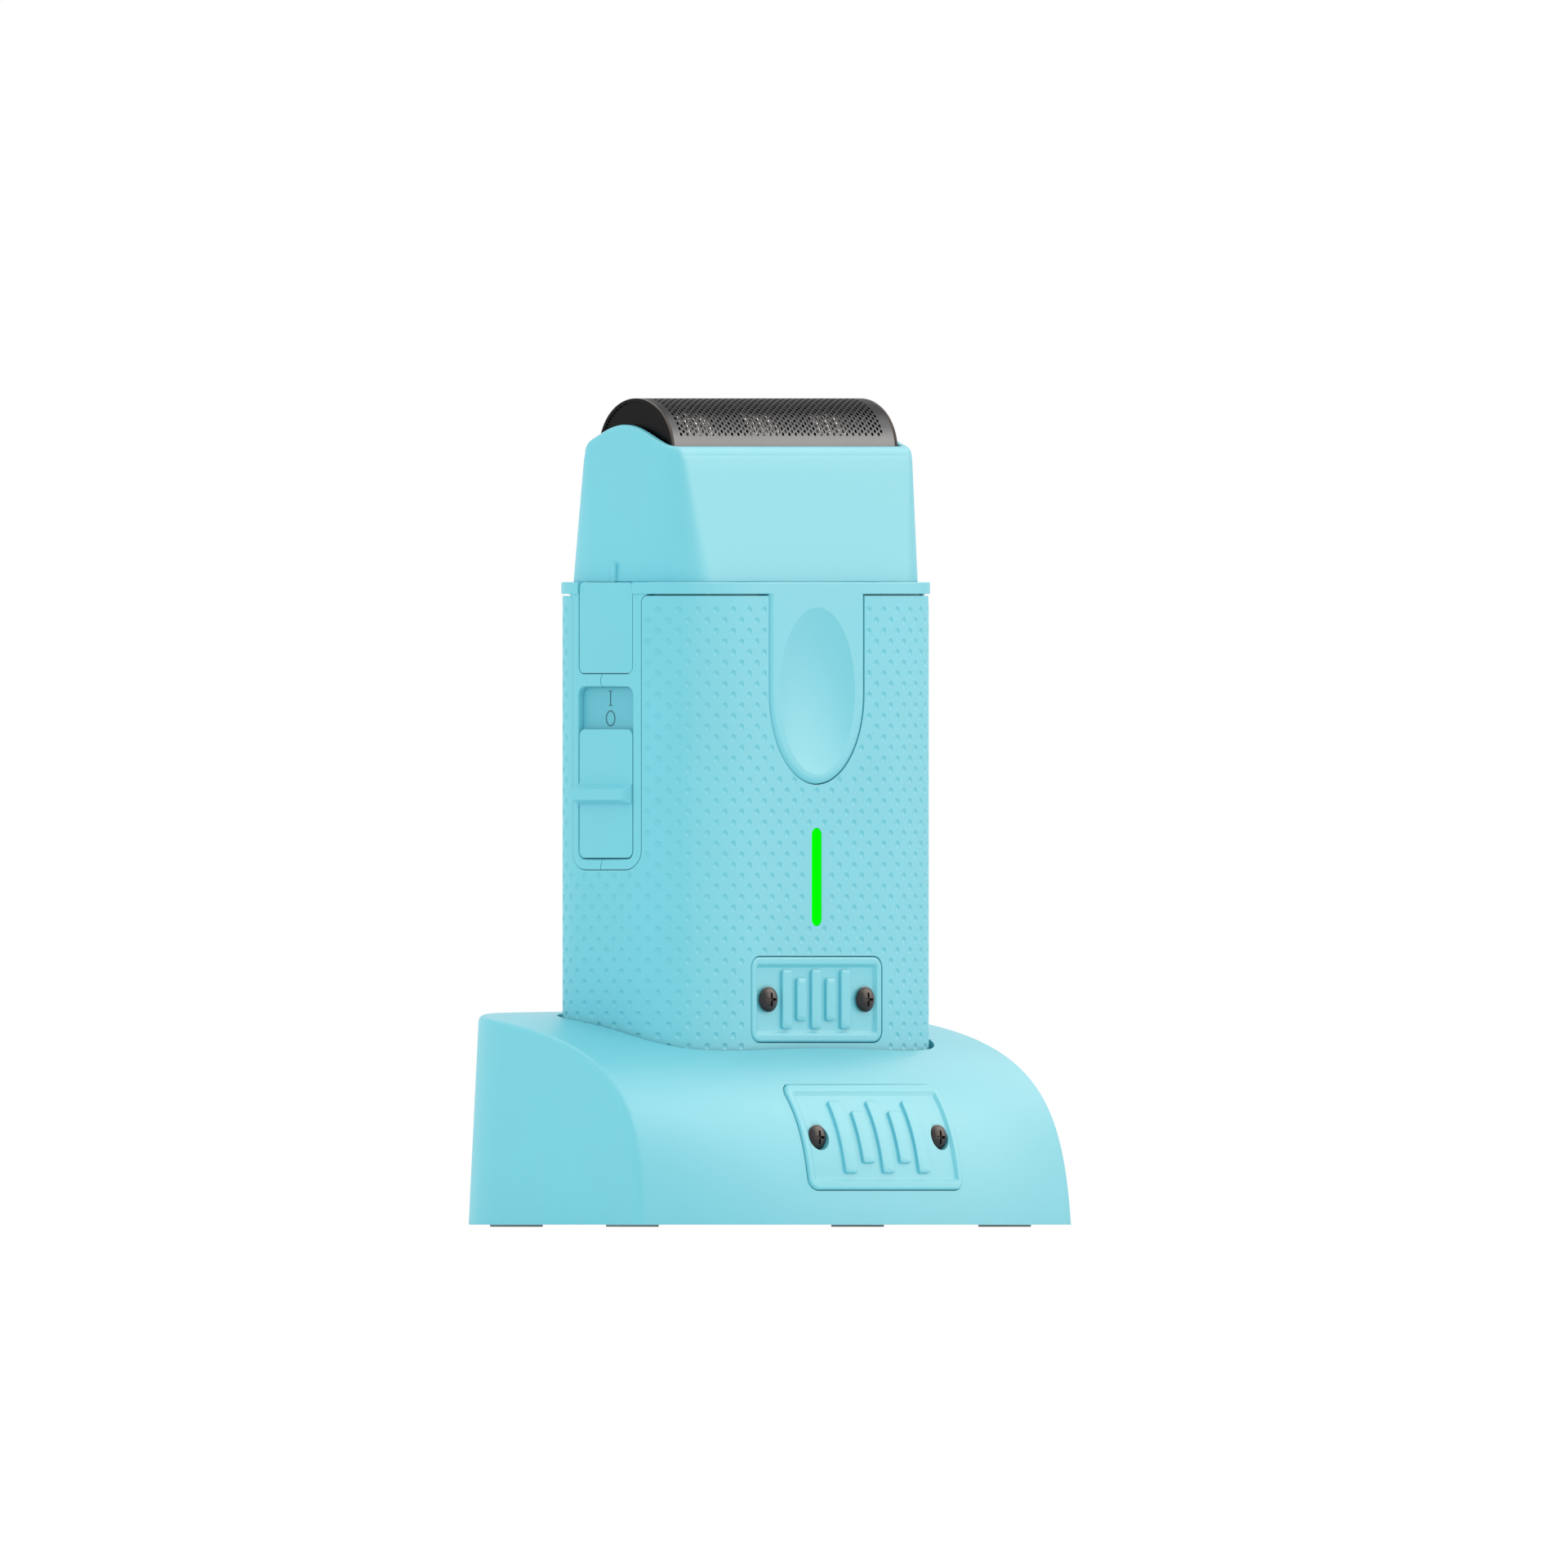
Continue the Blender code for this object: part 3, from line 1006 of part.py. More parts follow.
def main():
    clear_scene()
    materials = make_materials()
    axis = bpy.data.objects.new("shaver_axis", None)
    axis.location = (0, SHAVER_Y, 0)
    bpy.data.collections[COLLECTION].objects.link(axis)
    bpy.context.view_layer.update()

    shell = build_dock_shell(axis, materials)
    build_base_plate(shell, axis, materials)
    build_dock_badge(materials)
    build_dock_electrics(axis, materials)
    build_housings(axis, materials)
    build_sleeve(axis, materials)
    build_bottom_cap(axis, materials)
    build_body_badge(axis, materials)
    build_light(axis, materials)
    build_switch(axis, materials)
    for side, word in ((-1, "left"), (1, "right")):
        build_release_button(side, word, axis, materials)
    build_power_pack(axis, materials)
    build_motor(axis, materials)
    foil_axis = bpy.data.objects.new("foil_axis", None)
    foil_axis.location = (0, FOIL_SHIFT_Y, 0)
    foil_axis.parent = axis
    bpy.data.collections[COLLECTION].objects.link(foil_axis)
    build_head_frame(axis, foil_axis, materials)
    build_cassette(foil_axis, materials)
    build_cutter(axis, foil_axis, materials)


main()
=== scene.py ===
"""Foil shaver in its charging dock: the visual pieces and materials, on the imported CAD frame.

A piece stands for the CAD node whose name it carries, and rides on that node's body. Shapes are
drawn in millimetres from the shaver's upright axis, +Z up and the front facing -Y, and each
mesh goes to the frame's metres when its piece is made.
"""

import json
from collections import Counter
from math import ceil, copysign, cos, dist, floor, hypot, pi, radians, sin, sqrt, tan

import bmesh
import bpy
import numpy as np
from mathutils import Matrix, Vector
from mathutils.geometry import delaunay_2d_cdt


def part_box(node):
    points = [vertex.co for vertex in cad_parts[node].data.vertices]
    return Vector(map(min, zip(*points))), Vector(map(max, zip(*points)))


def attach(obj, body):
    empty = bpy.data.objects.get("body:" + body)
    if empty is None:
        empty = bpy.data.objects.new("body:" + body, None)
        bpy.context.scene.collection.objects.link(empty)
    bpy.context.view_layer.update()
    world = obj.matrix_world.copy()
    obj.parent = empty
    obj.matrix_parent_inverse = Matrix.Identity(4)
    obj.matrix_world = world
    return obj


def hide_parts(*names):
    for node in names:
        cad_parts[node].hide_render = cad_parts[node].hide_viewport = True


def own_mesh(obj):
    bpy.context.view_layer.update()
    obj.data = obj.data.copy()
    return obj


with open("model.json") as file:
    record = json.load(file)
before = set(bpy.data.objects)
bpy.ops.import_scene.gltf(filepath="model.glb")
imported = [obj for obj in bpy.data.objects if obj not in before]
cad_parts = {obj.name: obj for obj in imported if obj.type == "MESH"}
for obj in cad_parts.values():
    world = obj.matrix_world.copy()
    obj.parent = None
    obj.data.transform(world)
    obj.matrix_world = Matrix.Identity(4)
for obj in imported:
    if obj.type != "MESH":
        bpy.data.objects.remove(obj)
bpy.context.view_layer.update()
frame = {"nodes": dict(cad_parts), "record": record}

RECORD = frame["record"]
BODY_OF = {node: body for body, nodes in RECORD["behaviour"]["bodies"].items() for node in nodes}
SLOT_OF = {part["node"]: part["material_slot"] for part in RECORD["subparts"]}


def cad_box(node):
    """A CAD node's box in millimetres from the shaver's axis."""
    low, high = (np.array(corner) * 1000 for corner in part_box(node))
    low[1] -= AXIS_Y
    high[1] -= AXIS_Y
    return low, high


def cad_middle(node):
    """The middle of that box."""
    return sum(cad_box(node)) / 2


def cad_face(node, grow=0.0, axes=(0, 2)):
    """That box's (low, high) along two axes, widened by grow."""
    low, high = cad_box(node)
    return [(low[k] - grow, high[k] + grow) for k in axes]


SHAFT_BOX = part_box("motor_shaft")
AXIS_Y = (SHAFT_BOX[0][1] + SHAFT_BOX[1][1]) / 2 * 1000

# Dock
DOCK_BOTTOM = cad_box("dock_shell")[0][2]
DOCK_HALF, DOCK_BACK, _ = cad_box("dock_shell")[1]
DOCK_FRONT_RADIUS = 150.0
DOCK_BACK_CORNER = 13.0
DOCK_SIDE_DRAFT = tan(radians(2.6))
DOCK_BACK_DRAFT = tan(radians(1.5))
DOCK_PROFILE = [(-24.8, 0.35), (-23.8, 22.5), (-16.7, 31.6), (22.9, 34.1)]
DOCK_WALL = 2.8
DOCK_BADGE_Z = (5.9, 22.6)
POCKET_FLOOR = 9.2
POCKET_CLEARANCE = 0.85
POCKET_WALL = 2.0

# Body
BODY_HALF_DEPTH = 16.0
BODY_HALF_WIDTH = 32.2
BODY_FLAT_HALF = 13.5
BODY_CROWN_RADIUS = 41.0
BODY_CROWN_END = radians(17)
BODY_CORNER_END = radians(87)
PROUD = 0.2  # of the ring and the thumb rest over the grip
HOUSING_INSET = 1.5
CAVITY_INSET = 3.3
GAP = 0.3  # between pieces where it is hidden
SEAM = 0.13  # between pieces where it shows
RING_BOTTOM = 100.75
RING_TOP = 102.65
CONTROL_Y = -0.5
CONTROL_HALF = 6.05
TRIM_HALF = 7.55
TRIM_BOTTOM = {-1: 56.9, 1: 86.6}
SLOT_Z = (58.6, 85.9)
CONTROL_CORNER = 1.3
SLIDER_TOP = 79.35
BUTTON_BOTTOM = 88.0
BUTTON_TOP = 102.75
SEAM_BOW = 0.5
TONGUE_HALF = 10.65
TONGUE_STRAIGHT_END = 84.8
TONGUE_TIP = 70.5
DISH_Z = 85.3
DISH_HALF = (8.5, 13.4)
DISH_DEPTH = 1.3
DIMPLE_STEP = 1.695
DIMPLE_ROW = 69.4
DIMPLE_RINGS = [(0.57, 0.0), (0.41, 0.13)]  # radius and depth
DIMPLE_TIP = 0.1  # how far its middle lies below its last ring
LIGHT_TRIM = 0.1
LIGHT_CORNER = 1.08
BADGE_CORNER = 1.8
COARSE = (3, 8, 2)  # steps of body_section where a wall is hidden

# Head
HEAD_BASE = (30.1, 13.9, 9.0, 0.0)  # half of X, half of Y, corner radius, shift in Y
HEAD_TOP = (27.6, 10.7, 2.6, -0.6)
HEAD_BOTTOM = 102.95
HEAD_RIM = 124.2
HEAD_WAVE = 3.5
HEAD_CREST = (0.5, 10.9)  # its middle in Y and its half width
HEAD_WALL = 1.7
HEAD_FLOOR_Z = (108.8, 110.0)
FOIL_Y = -0.6
FOIL_Z = 123.7
FOIL_RADIUS = 8.2
FOIL_BOTTOM = 115.5
CUTTER_WINDOW = ((-22.5, 22.5), (FOIL_Y - 7.8, FOIL_Y + 7.8))
HOLE_STEP = (0.7175, 0.471)  # half the distance between holes, in X and round the arch
HOLE_SIZE = (0.268, 0.31)  # half the width and half the height
HOLES_X = (-23.2, 22.6)
HOLES_END = 74  # degrees round the arch from its top
FOIL_HALF = 24.8
FOIL_THICKNESS = 0.14
BRIGHT_BLADES = (-17.7, -2.7, 12.3)  # middles of the three polished sets

# Springs: radius of the wire and the turns that work
SPRING_WIRE = {"charge_pin": (0.15, 3), "release": (0.22, 4), "foil": (0.16, 3), "cutter": (0.22, 4)}

# Points closer than this are joined: in a shape that is being built, and in a finished piece
WELD = 0.0005
FINISH_WELD = 0.002

# Studio, in metres
AMBIENT = 1.04
VIEW_AZIMUTH = radians(-45)
VIEW_WIDTH = 0.2496
VIEW_HEIGHT = 0.0705
VIEW_ASIDE = 0.0061
VIEW_DISTANCE = 2.0

FACING_FRONT = Matrix.Rotation(radians(90), 4, "X")
FACING_SIDE = {
    -1: Matrix(((0, 0, -1, 0), (1, 0, 0, 0), (0, 1, 0, 0), (0, 0, 0, 1))),
    1: Matrix(((0, 0, 1, 0), (1, 0, 0, 0), (0, 1, 0, 0), (0, 0, 0, 1))),
}


# ---- materials


def add_node(material, kind, **values):
    """A new shader node with these values in its inputs."""
    node = material.node_tree.nodes.new("ShaderNode" + kind)
    set_inputs(node, **values)
    return node


def set_inputs(node, **values):
    """Puts values in a node's inputs, named with _ for a space."""
    for socket, value in values.items():
        node.inputs[socket.replace("_", " ")].default_value = value


def wire(material, *links):
    """Links from (node, output) to (node, input)."""
    for source, output, target, socket in links:
        material.node_tree.links.new(source.outputs[output], target.inputs[socket])


def shader_of(material):
    return material.node_tree.nodes["Principled BSDF"]


def add_bump(material, noise, strength, distance):
    """Moves the shader's normals by a noise; distance is in metres."""
    bump = add_node(material, "Bump", Strength=strength, Distance=distance)
    wire(material, (noise, "Fac", bump, "Height"), (bump, "Normal", shader_of(material), "Normal"))


def node_material(name, base, roughness, metallic=0.0, mottle=0.03, grain=0.0, grain_size=0.4, **extra):
    """A moulded or metal surface: slight mottling of its colour, worn gloss and a fine grain."""
    material = bpy.data.materials.new(name)
    material.use_nodes = True
    shader = shader_of(material)
    set_inputs(shader, Metallic=metallic, **extra)
    place = add_node(material, "TexCoord")
    cloud = add_node(material, "TexNoise", Scale=60.0, Detail=3.0)
    tint = add_node(material, "ValToRGB")
    for element, position, share in zip(tint.color_ramp.elements, (0.3, 0.7), (1 - mottle, 1 + mottle)):
        element.position = position
        element.color = (*[min(c * share, 1.0) for c in base], 1.0)
    wear = add_node(material, "MapRange", To_Min=roughness - 0.04, To_Max=roughness + 0.04)
    wire(
        material,
        (place, "Object", cloud, "Vector"),
        (cloud, "Fac", tint, "Fac"),
        (tint, "Color", shader, "Base Color"),
        (cloud, "Fac", wear, "Value"),
        (wear, "Result", shader, "Roughness"),
    )
    if grain:
        fine = add_node(material, "TexNoise", Scale=1000.0 / grain_size, Detail=2.0)
        wire(material, (place, "Object", fine, "Vector"))
        add_bump(material, fine, grain, 0.00005)
    return material


def brushed_material(name, base, roughness, direction):
    """Metal with fine drawn lines along one axis."""
    material = node_material(name, base, roughness, 1.0, 0.08)
    place = add_node(material, "TexCoord")
    stretch = add_node(material, "Mapping", Scale=direction)
    lines = add_node(material, "TexNoise", Scale=40.0, Detail=3.0)
    wire(material, (place, "Object", stretch, "Vector"), (stretch, "Vector", lines, "Vector"))
    add_bump(material, lines, 0.25, 0.00002)
    return material


def shaded_sheet_material(name, colours, heights, roughness):
    """Dark etched metal with painted shade: its colour runs through colours from the lower to the upper of
    two heights in metres, standing in for reflections that change with height.
    """
    material = node_material(name, colours[0], roughness, 1.0, 0.05, Specular_Tint=(0.62, 0.62, 0.62, 1.0))
    place = add_node(material, "TexCoord")
    axes = add_node(material, "SeparateXYZ")
    share = add_node(material, "MapRange", From_Min=heights[0], From_Max=heights[1])
    tone = add_node(material, "ValToRGB")
    ramp = tone.color_ramp
    ramp.interpolation = "EASE"
    for _ in colours[2:]:
        ramp.elements.new(0.5)
    for k, colour in enumerate(colours):
        ramp.elements[k].position = k / (len(colours) - 1)
        ramp.elements[k].color = (*colour, 1.0)
    wire(
        material,
        (place, "Object", axes, "Vector"),
        (axes, "Z", share, "Value"),
        (share, "Result", tone, "Fac"),
        (tone, "Color", shader_of(material), "Base Color"),
    )
    return material


AQUA = (0.165, 0.6, 0.7)
MATERIALS = {
    "aqua_plastic": node_material("moulded_aqua", AQUA, 0.42, mottle=0.015, grain=0.12),
    "aqua_grip": node_material("grip_aqua", AQUA, 0.5, mottle=0.02, grain=0.2, grain_size=0.25),
    "black_plastic": node_material(
        "moulded_black", (0.006, 0.006, 0.007), 0.4, mottle=0.1, grain=0.2, Specular_IOR_Level=0.25
    ),
    # The feet's rubber glows faintly: painted light that lifts them out of the shade in the thin gap between
    # the dock and the floor.
    "foot_rubber": node_material(
        "grey_rubber",
        (0.6, 0.62, 0.63),
        0.75,
        mottle=0.08,
        grain=0.5,
        Emission_Color=(0.9, 1.0, 1.0, 1.0),
        Emission_Strength=0.12,
    ),
    "foil_steel": brushed_material("foil_steel", (0.066, 0.069, 0.073), 0.36, (1, 30, 30)),
    "spring_steel": node_material("spring_wire", (0.55, 0.55, 0.56), 0.25, 1.0, 0.05),
    "motor_steel": brushed_material("drawn_steel", (0.55, 0.55, 0.55), 0.32, (30, 30, 1)),
    "screw_black": node_material("black_oxide", (0.028, 0.028, 0.03), 0.3, 0.6, 0.12, 0.25, 0.15),
    "circuit_board": node_material("solder_mask", (0.02, 0.18, 0.07), 0.35, mottle=0.12, grain=0.2),
    "contact_brass": node_material("gold_plate", (0.8, 0.58, 0.22), 0.22, 1.0, 0.05),
    "battery_sleeve": node_material("shrink_sleeve", (0.08, 0.2, 0.55), 0.28, mottle=0.05, grain=0.1),
    "acetal": node_material("white_acetal", (0.82, 0.82, 0.79), 0.35, mottle=0.02, grain=0.1),
    "charge_light": node_material(
        "light_pipe",
        (0.0, 0.03, 0.0),
        0.6,
        mottle=0.05,
        Specular_IOR_Level=0.0,
        Emission_Color=(0.0, 1.0, 0.0, 1.0),
        Emission_Strength=1.0,
    ),
}
MARK = node_material("switch_mark", (0.035, 0.14, 0.18), 0.6, mottle=0.1)
# Painted shade: a darker copy of the aqua for the switch plate, for the shade down in the slot.
SHADED_SLOT_FLOOR = node_material("slot_floor_painted_shade", (0.11, 0.49, 0.59), 0.46, mottle=0.015, grain=0.12)
# Painted shade: the foil is coloured lighter at its lower band and darker towards its top, for the dimmer
# reflections up the arch.
FOIL_PAINTED_SHADE = [(0.09, 0.105, 0.12), (0.034, 0.04, 0.047), (0.018, 0.021, 0.025)]
FOIL_SHADED_SHEET = shaded_sheet_material("foil_sheet_painted_shade", FOIL_PAINTED_SHADE, (0.1245, 0.1312), 0.36)
CLIP_STEEL = node_material("polished_steel", (0.92, 0.93, 0.95), 0.3, 1.0, 0.03)
CAP_BLACK = node_material("cap_black", (0.003, 0.003, 0.0035), 0.3, mottle=0.1, Specular_IOR_Level=0.16)


# ---- meshes


def add_object(name, data):
    """An object of the scene."""
    made = bpy.data.objects.new(name, data)
    bpy.context.scene.collection.objects.link(made)
    return made


def circle(count):
    """The angles of a full turn in equal steps."""
    return [2 * pi * k / count for k in range(count)]


def quarter_turn(count):
    """The angles of a quarter turn, both ends included."""
    return np.linspace(0, pi / 2, count)


def looped(row):
    """Each member of a closed row with the one after it."""
    return zip(row, row[1:] + row[:1])


def stored(work, name="shape"):
    """The mesh of a bmesh, which is freed."""
    mesh = bpy.data.meshes.new(name)
    work.to_mesh(mesh)
    work.free()
    return mesh


def to_mesh(work, facing=None):
    """The finished mesh of a bmesh, turned by facing, with its normals outwards."""
    if facing is not None:
        work.transform(facing)
    bmesh.ops.recalc_face_normals(work, faces=work.faces)
    return stored(work)


def welded(mesh, distance):
    """A bmesh of a mesh, without edges shorter than distance."""
    work = bmesh.new()
    work.from_mesh(mesh)
    bmesh.ops.remove_doubles(work, verts=work.verts, dist=distance)
    bmesh.ops.dissolve_degenerate(work, edges=work.edges, dist=distance)
    return work


def loft(rings, facing=None, ends_meet=False):
    """Skin over rings of equal point count. Its two ends are capped, or joined to each other."""
    work = bmesh.new()
    rows = [[work.verts.new(point) for point in ring] for ring in rings]
    pairs = list(zip(rows, rows[1:]))
    if ends_meet:
        pairs.append((rows[-1], rows[0]))
    else:
        work.faces.new(rows[0])
        work.faces.new(rows[-1])
    for lower, upper in pairs:
        for (a, b), (c, d) in zip(looped(lower), looped(upper)):
            work.faces.new((a, b, d, c))
    return to_mesh(work, facing)


def skin(verts, faces):
    """A mesh from points and faces, its equal points joined."""
    mesh = bpy.data.meshes.new("skin")
    mesh.from_pydata(verts, [], faces)
    work = bmesh.new()
    work.from_mesh(mesh)
    bmesh.ops.remove_doubles(work, verts=work.verts, dist=WELD)
    return to_mesh(work)


def fillet_levels(low, high, edge_low, edge_high, steps=4):
    """(inset, height) pairs up the side of a slab whose two edges are rounded."""
    turns = quarter_turn(steps + 1)
    lower = [(edge_low * (1 - sin(a)), low + edge_low * (1 - cos(a))) for a in turns]
    upper = [(edge_high * (1 - cos(a)), high - edge_high * (1 - sin(a))) for a in turns]
    return (lower if edge_low else [(0.0, low)]) + (upper if edge_high else [(0.0, high)])


def loft_levels(outline, levels, facing=None):
    """Skin over outline(inset) at each (inset, height) of levels."""
    return loft([[(x, y, height) for x, y in outline(inset)] for inset, height in levels], facing)


def slab(outline, low, high, edge_low=0.0, edge_high=0.0, facing=None):
    """outline(inset) extruded from low to high, its edges rounded."""
    return loft_levels(outline, fillet_levels(low, high, edge_low, edge_high), facing)


def box(x, y, z):
    work = bmesh.new()
    size = Matrix.Diagonal((abs(x[1] - x[0]), y[1] - y[0], z[1] - z[0], 1.0))
    middle = Matrix.Translation((sum(x) / 2, sum(y) / 2, sum(z) / 2))
    bmesh.ops.create_cube(work, size=1.0, matrix=middle @ size)
    return to_mesh(work)


def rod(radius, start, end, sides=40):
    start, end = Vector(start), Vector(end)
    turn = (end - start).to_track_quat("Z", "Y").to_matrix().to_4x4()
    work = bmesh.new()
    bmesh.ops.create_cone(
        work,
        cap_ends=True,
        segments=sides,
        radius1=radius,
        radius2=radius,
        depth=(end - start).length,
        matrix=Matrix.Translation((start + end) / 2) @ turn,
    )
    return to_mesh(work)


def turned(profile, facing=None, steps=48):
    """A solid turned about Z from (radius, height) points, top to bottom."""
    turns = circle(steps)
    return loft([[(r * cos(a), r * sin(a), height) for a in turns] for r, height in profile], facing)


def boolean(mesh, operation, *tools):
    """mesh with the tools taken away, joined on or intersected, one after the other."""
    for tool in tools:
        host = add_object("work", mesh)
        other = add_object("tool", tool)
        step = host.modifiers.new("step", "BOOLEAN")
        step.operation = operation
        step.solver = "EXACT"
        step.object = other
        bpy.context.view_layer.update()
        made = bpy.data.meshes.new_from_object(host.evaluated_get(bpy.context.evaluated_depsgraph_get()))
        bpy.data.objects.remove(host)
        bpy.data.objects.remove(other)
        mesh = stored(welded(made, WELD))
    return mesh


def cut(mesh, *tools):
    return boolean(mesh, "DIFFERENCE", *tools)


def join(mesh, *tools):
    return boolean(mesh, "UNION", *tools)


def keep_inside(mesh, tool):
    return boolean(mesh, "INTERSECT", tool)


def piece(name, mesh, body, slot, sharp=35, material=None):
    """A finished piece in the frame, riding on a body. Edges over sharp degrees stay sharp."""
    work = welded(mesh, FINISH_WELD)
    work.transform(Matrix.Translation((0, AXIS_Y / 1000, 0)) @ Matrix.Scale(0.001, 4))
    clean = stored(work, name)
    clean.shade_smooth()
    clean.set_sharp_from_angle(angle=radians(sharp))
    clean.materials.clear()
    clean.materials.append(material or MATERIALS[slot])
    clean.polygons.foreach_set("material_index", [0] * len(clean.polygons))
    shape = add_object(name, clean)
    weigh = shape.modifiers.new("flats", "WEIGHTED_NORMAL")
    weigh.keep_sharp = True
    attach(shape, body)
    return shape


def stand_for(node, mesh, sharp=35, material=None):
    """The detailed piece that is shown instead of a CAD node."""
    shape = piece(node + "_detail", mesh, BODY_OF[node], SLOT_OF[node], sharp, material)
    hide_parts(node)
    return shape


# ---- outlines


def rounded_box(x, y, radius, inset=0.0, steps=8):
    """Rectangle with round corners, anticlockwise, moved inwards by inset."""
    x = (x[0] + inset, x[1] - inset)
    y = (y[0] + inset, y[1] - inset)
    radius = max(radius - inset, 0.05)
    points = []
    for quadrant, (side_x, side_y) in enumerate(((1, -1), (1, 1), (-1, 1), (-1, -1)), -1):
        centre_x = x[side_x > 0] - side_x * radius
        centre_y = y[side_y > 0] - side_y * radius
        for i in range(steps + 1):
            angle = radians(90 * (quadrant + i / steps))
            points.append((centre_x + radius * cos(angle), centre_y + radius * sin(angle)))
    return points


def section_quarter(crown_steps, corner_steps, side_steps):
    """(x, y, angle of the normal) from the end of the flat front to the middle of the side."""
    side_slope = (1 - sin(BODY_CORNER_END)) / cos(BODY_CORNER_END)
    crown_x = BODY_FLAT_HALF + BODY_CROWN_RADIUS * sin(BODY_CROWN_END)
    crown_y = -BODY_HALF_DEPTH + BODY_CROWN_RADIUS * (1 - cos(BODY_CROWN_END))
    across = sin(BODY_CORNER_END) - sin(BODY_CROWN_END)
    deep = cos(BODY_CROWN_END) - cos(BODY_CORNER_END)
    corner = (BODY_HALF_WIDTH - crown_x + crown_y * side_slope) / (across - deep * side_slope)
    side = -(crown_y + corner * deep) / cos(BODY_CORNER_END)
    x, y = BODY_FLAT_HALF, -BODY_HALF_DEPTH
    quarter = [(x, y, 0.0)]
    for radius, start, end, steps in (
        (BODY_CROWN_RADIUS, 0.0, BODY_CROWN_END, crown_steps),
        (corner, BODY_CROWN_END, BODY_CORNER_END, corner_steps),
        (side, BODY_CORNER_END, pi / 2, side_steps),
    ):
        for i in range(1, steps + 1):
            angle = start + (end - start) * i / steps
            px = x + radius * (sin(angle) - sin(start))
            py = y + radius * (cos(start) - cos(angle))
            quarter.append((px, py, angle))
        x, y = px, py
    quarter[-1] = (quarter[-1][0], 0.0, pi / 2)
    return quarter


def body_section(inset, crown_steps=8, corner_steps=20, side_steps=6):
    """The grip's plan outline moved inwards by inset, anticlockwise."""
    quarter = [
        (x - inset * sin(a), y + inset * cos(a))
        for x, y, a in section_quarter(crown_steps, corner_steps, side_steps)
    ]
    back = quarter[-2::-1]
    return (
        quarter
        + [(x, -y) for x, y in back]
        + [(-x, -y) for x, y in quarter]
        + [(-x, y) for x, y in back]
    )


class Wrap:
    """The grip's outline by its length s from the middle of the front, positive towards +X."""

    def __init__(self):
        quarter = section_quarter(60, 200, 60)
        flat = [(BODY_FLAT_HALF * i / 20, -BODY_HALF_DEPTH, 0.0) for i in range(20)]
        front = flat + quarter
        rear = [(x, -y, pi - a) for x, y, a in front[-2::-1]]
        right = np.array(front + rear)
        steps = np.hypot(np.diff(right[:, 0]), np.diff(right[:, 1]))
        self.s = np.concatenate([[0.0], np.cumsum(steps)])
        self.right = right
        self.length = 2 * self.s[-1]

    def place(self, s, t, depth):
        """The point at depth. Inwards is along Y behind the front and along X behind the sides."""
        s = (s + self.length / 2) % self.length - self.length / 2
        side = -1 if s < 0 else 1
        x, y, angle = (np.interp(abs(s), self.s, self.right[:, k]) for k in range(3))
        mirror = angle > pi / 2
        lean = pi - angle if mirror else angle
        inward = pi / 2 * min(max((lean - 0.35) / 0.5, 0.0), 1.0)
        depth /= cos(inward - lean)
        inward = pi - inward if mirror else inward
        return (side * (x - depth * sin(inward)), y + depth * cos(inward), t)

    def from_x(self, x):
        """s on the front at x."""
        half = len(self.s) // 2
        return copysign(np.interp(abs(x), self.right[:half, 0], self.s[:half]), x)

    def from_y(self, y, side):
        """s on a flank at y."""
        return side * np.interp(y, self.right[:, 1], self.s)


def tongue_outline(inset, top=RING_TOP, steps=40):
    """The thumb rest in X and Z: straight down from the ring, then half an ellipse."""
    half = TONGUE_HALF - inset
    drop = TONGUE_STRAIGHT_END - TONGUE_TIP - inset
    points = [(half, top), (-half, top)]
    for i in range(steps + 1):
        angle = pi + pi * i / steps
        points.append((half * cos(angle), TONGUE_STRAIGHT_END + drop * sin(angle)))
    return points


# ---- skins with a lattice of dimples or holes

# Twelve points round a diamond, in thirds of its half width and half height
RIM = [(3 - k, k) for k in range(3)] + [(-k, 3 - k) for k in range(3)]
RIM += [(-a, -b) for a, b in RIM]


def dense(outline, closed, step=0.02):
    """Points along an outline, no further apart than step."""
    points = []
    for (x0, y0), (x1, y1) in looped(outline) if closed else zip(outline, outline[1:]):
        count = max(1, ceil(hypot(x1 - x0, y1 - y0) / step))
        points += [(x0 + (x1 - x0) * i / count, y0 + (y1 - y0) * i / count) for i in range(count)]
    return points


